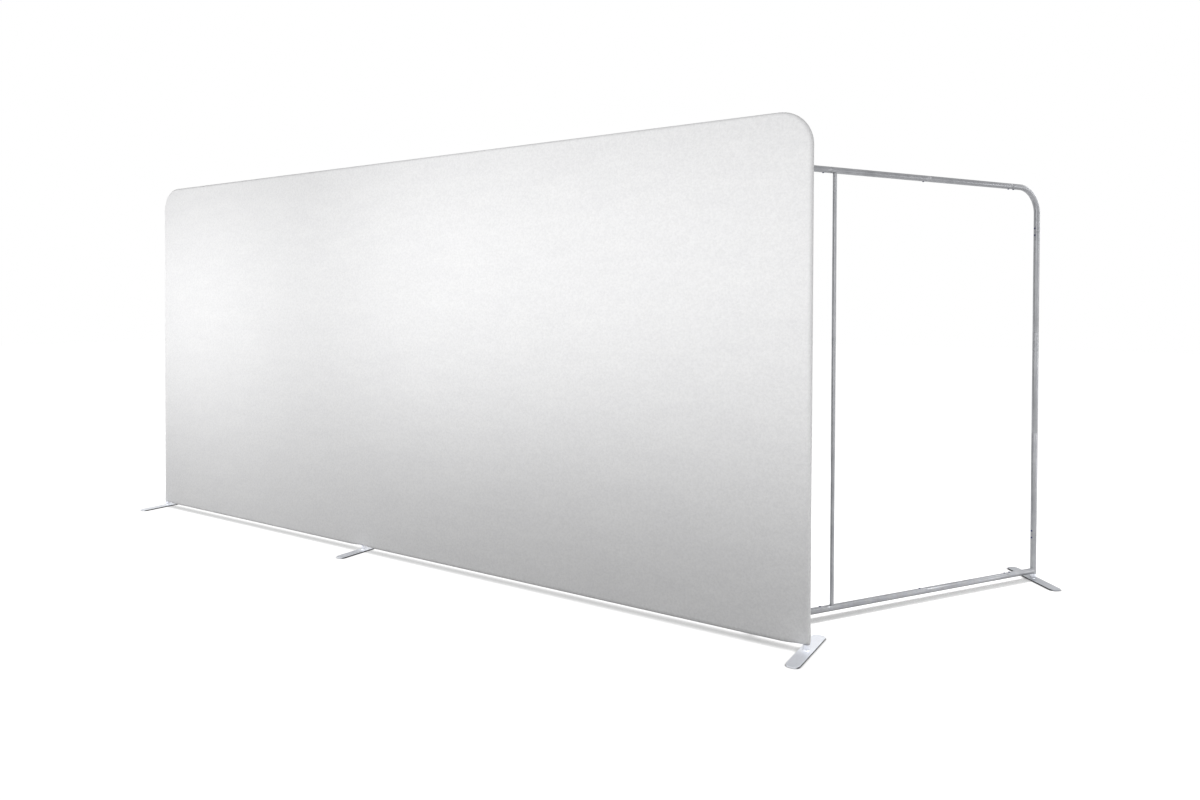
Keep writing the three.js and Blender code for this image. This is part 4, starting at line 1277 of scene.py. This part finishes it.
def pullPiece():
    # waisted plate with a window round the bridge and a raised grip near its end
    axisY = slider["face"] + slider["rise"] / 2
    outer = np.array([(-1.0, -3.4), (-0.4, -4.1), (2, -4.2), (11, -3.5), (17, -3.1), (24, -3.8),
                      (30, -4.2), (33, -3.6), (34, -2.0), (34, 2.0), (33, 3.6), (30, 4.2),
                      (24, 3.8), (17, 3.1), (11, 3.5), (2, 4.2), (-0.4, 4.1), (-1.0, 3.4)]) * mm
    inner = np.array([(1.0, -1.8), (1.6, -2.4), (4, -2.5), (7, -2.5), (8.4, -2.4), (8.9, -2.1),
                      (9, -1.4), (9, -0.8), (9, -0.3), (9, 0.3), (9, 0.8), (9, 1.4), (8.9, 2.1),
                      (8.4, 2.4), (7, 2.5), (4, 2.5), (1.6, 2.4), (1.0, 1.8)]) * mm
    count, rings = len(outer), []
    for y in (-1 * mm, 1 * mm):
        for loop in ((inner, outer) if y < 0 else (outer, inner)):
            rings.append(np.column_stack([loop[:, 0] + slider["middle"], np.full(count, axisY + y),
                                          loop[:, 1] + zipMiddle]))
    points = np.stack(rings).reshape(-1, 3)
    plate = (points, gridQuads(4, count, True, True).tolist())
    ribX = slider["middle"] + np.array([22, 24, 26, 28, 30]) * mm
    grips = [bars(ribX, 2.6 * mm, 0.4 * mm, 0.3 * mm, axisY + side * 0.9 * mm, zipMiddle)
             for side in (-1, 1)]
    points, faces = merged([plate, *grips])
    piece = addPiece("zip_pull_plate", points, faces, "zip_pull", "zinc",
                     ["zip_pull"], 40)
    turnEach(piece.data)
    rounded(piece, 0.35 * mm, 2)


sliderPiece()
pullPiece()
print("zip made")


# ---- floor, backdrop and light ----
stageSettings = dict(floorSize=60.0, floorGrey=0.34, floorGlow=0.9, contact=44 * mm, world=0.4,
                     shadowDepth=2.2, behindDepth=4.2, behind=(0.22, 0.36))
# name, place, target, size, power, seen in reflections, spread in degrees
lamps = (
    ("left_key", (-1.8, -1.965, 1.36), (-1.8, -0.965, 1.67), (2.575, 0.3), 42.0, True, 180),
    ("right_key", (1.944, -1.0, 1.72), (1.944, 0, 1.78), (4.0, 1.9), 27.0, True, 180),
    ("back_fill", (5.5, 4.5, 3.2), (2.8, 1.0, 1.0), (3.0, 2.0), 38.0, True, 180),
    ("back_soft", (0.3, 4.2, 2.3), (0.3, 0.0, 1.15), (5.0, 2.2), 150.0, False, 180),
    ("rail_glint", (4.3, 0.45, 2.0), (3.4, 1.2, 0.0), (1.8, 0.5), 8.5, True, 70),
    ("post_side", (5.9, 1.9, 1.1), (3.4, 1.5, 1.0), (0.6, 2.2), 1.8, True, 60),
    ("side_fill", (6.2, -0.6, 1.4), (2.7, 0.0, 1.2), (2.4, 2.2), 9.0, True, 180),
)


def floorFinish():
    # plain pale floor: a share of white light of its own for the camera and for reflections,
    # so that it reads white while the object's shadow still shows on it
    material, nodes, links, shader = newMaterial("pale_floor")
    output = nodes.get("Material Output")
    nodes.remove(shader)
    paint = nodes.new("ShaderNodeBsdfDiffuse")
    grey = stageSettings["floorGrey"]
    paint.inputs["Color"].default_value = (grey, grey, grey, 1)
    near = nodes.new("ShaderNodeAmbientOcclusion")
    near.inputs["Distance"].default_value = stageSettings["contact"]
    near.samples = 16
    # the shadow close to the tubes is deeper behind the wall, under the bare rail
    low, high = stageSettings["behind"]
    behind = span(nodes, links, objectAxis(nodes, links, "Y"), 0.0, 1.0)
    deeper = ramp(nodes, links, behind, [(low, (0, 0, 0)), (high, (1, 1, 1))])
    extra = summed(nodes, links, "MULTIPLY", deeper, stageSettings["behindDepth"])
    depth = summed(nodes, links, "ADD", extra, stageSettings["shadowDepth"])
    level = summed(nodes, links, "POWER", near.outputs["AO"], depth)
    glow = nodes.new("ShaderNodeEmission")
    links.new(summed(nodes, links, "MULTIPLY", level, stageSettings["floorGlow"]),
              glow.inputs["Strength"])
    both = nodes.new("ShaderNodeAddShader")
    links.new(paint.outputs[0], both.inputs[0])
    links.new(glow.outputs[0], both.inputs[1])
    choose = nodes.new("ShaderNodeMixShader")
    links.new(seenRays(nodes, links), choose.inputs[0])
    links.new(paint.outputs[0], choose.inputs[1])
    links.new(both.outputs[0], choose.inputs[2])
    links.new(choose.outputs[0], output.inputs["Surface"])
    return material


def seenRays(nodes, links):
    path = nodes.new("ShaderNodeLightPath")
    total = summed(nodes, links, "MAXIMUM", path.outputs["Is Camera Ray"],
                   path.outputs["Is Glossy Ray"])
    return summed(nodes, links, "MAXIMUM", total, path.outputs["Is Transmission Ray"])


def addFloor():
    half = stageSettings["floorSize"] / 2
    mesh = bpy.data.meshes.new("floor")
    mesh.from_pydata([(-half, -half, 0), (half, -half, 0), (half, half, 0), (-half, half, 0)],
                     [], [(0, 1, 2, 3)])
    mesh.materials.append(floorFinish())
    obj = placed("floor", mesh)


def addWorld():
    world = bpy.data.worlds.new("studio")
    scene.world = world
    world.use_nodes = True
    nodes, links = world.node_tree.nodes, world.node_tree.links
    shade = nodes.get("Background")
    shade.inputs["Color"].default_value = (1, 1, 1, 1)
    level = nodes.new("ShaderNodeMapRange")
    level.inputs["To Min"].default_value = stageSettings["world"]
    level.inputs["To Max"].default_value = 1.0
    links.new(seenRays(nodes, links), level.inputs["Value"])
    links.new(level.outputs["Result"], shade.inputs["Strength"])


def addPanelLight(name, place, target, size, power, mirrored, spread):
    data = bpy.data.lights.new(name, "AREA")
    data.shape = "RECTANGLE"
    data.size, data.size_y = size
    data.energy = power
    data.spread = math.radians(spread)
    obj = placed(name, data)
    obj.visible_camera = False
    obj.visible_glossy = mirrored
    away = np.array(place, float) - np.array(target, float)
    away /= np.linalg.norm(away)
    side = np.cross([0, 0, 1], away)
    side /= np.linalg.norm(side)
    matrix = np.eye(4)
    matrix[:3, 0], matrix[:3, 1], matrix[:3, 2] = side, np.cross(away, side), away
    matrix[:3, 3] = place
    obj.matrix_world = matrix.T.tolist()


addFloor()
addWorld()
for lamp in lamps:
    addPanelLight(*lamp)
print("stage and light set")

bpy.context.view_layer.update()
cadBounds = [list(map(float, cornerPoint)) for cornerPoint in cadBounds]
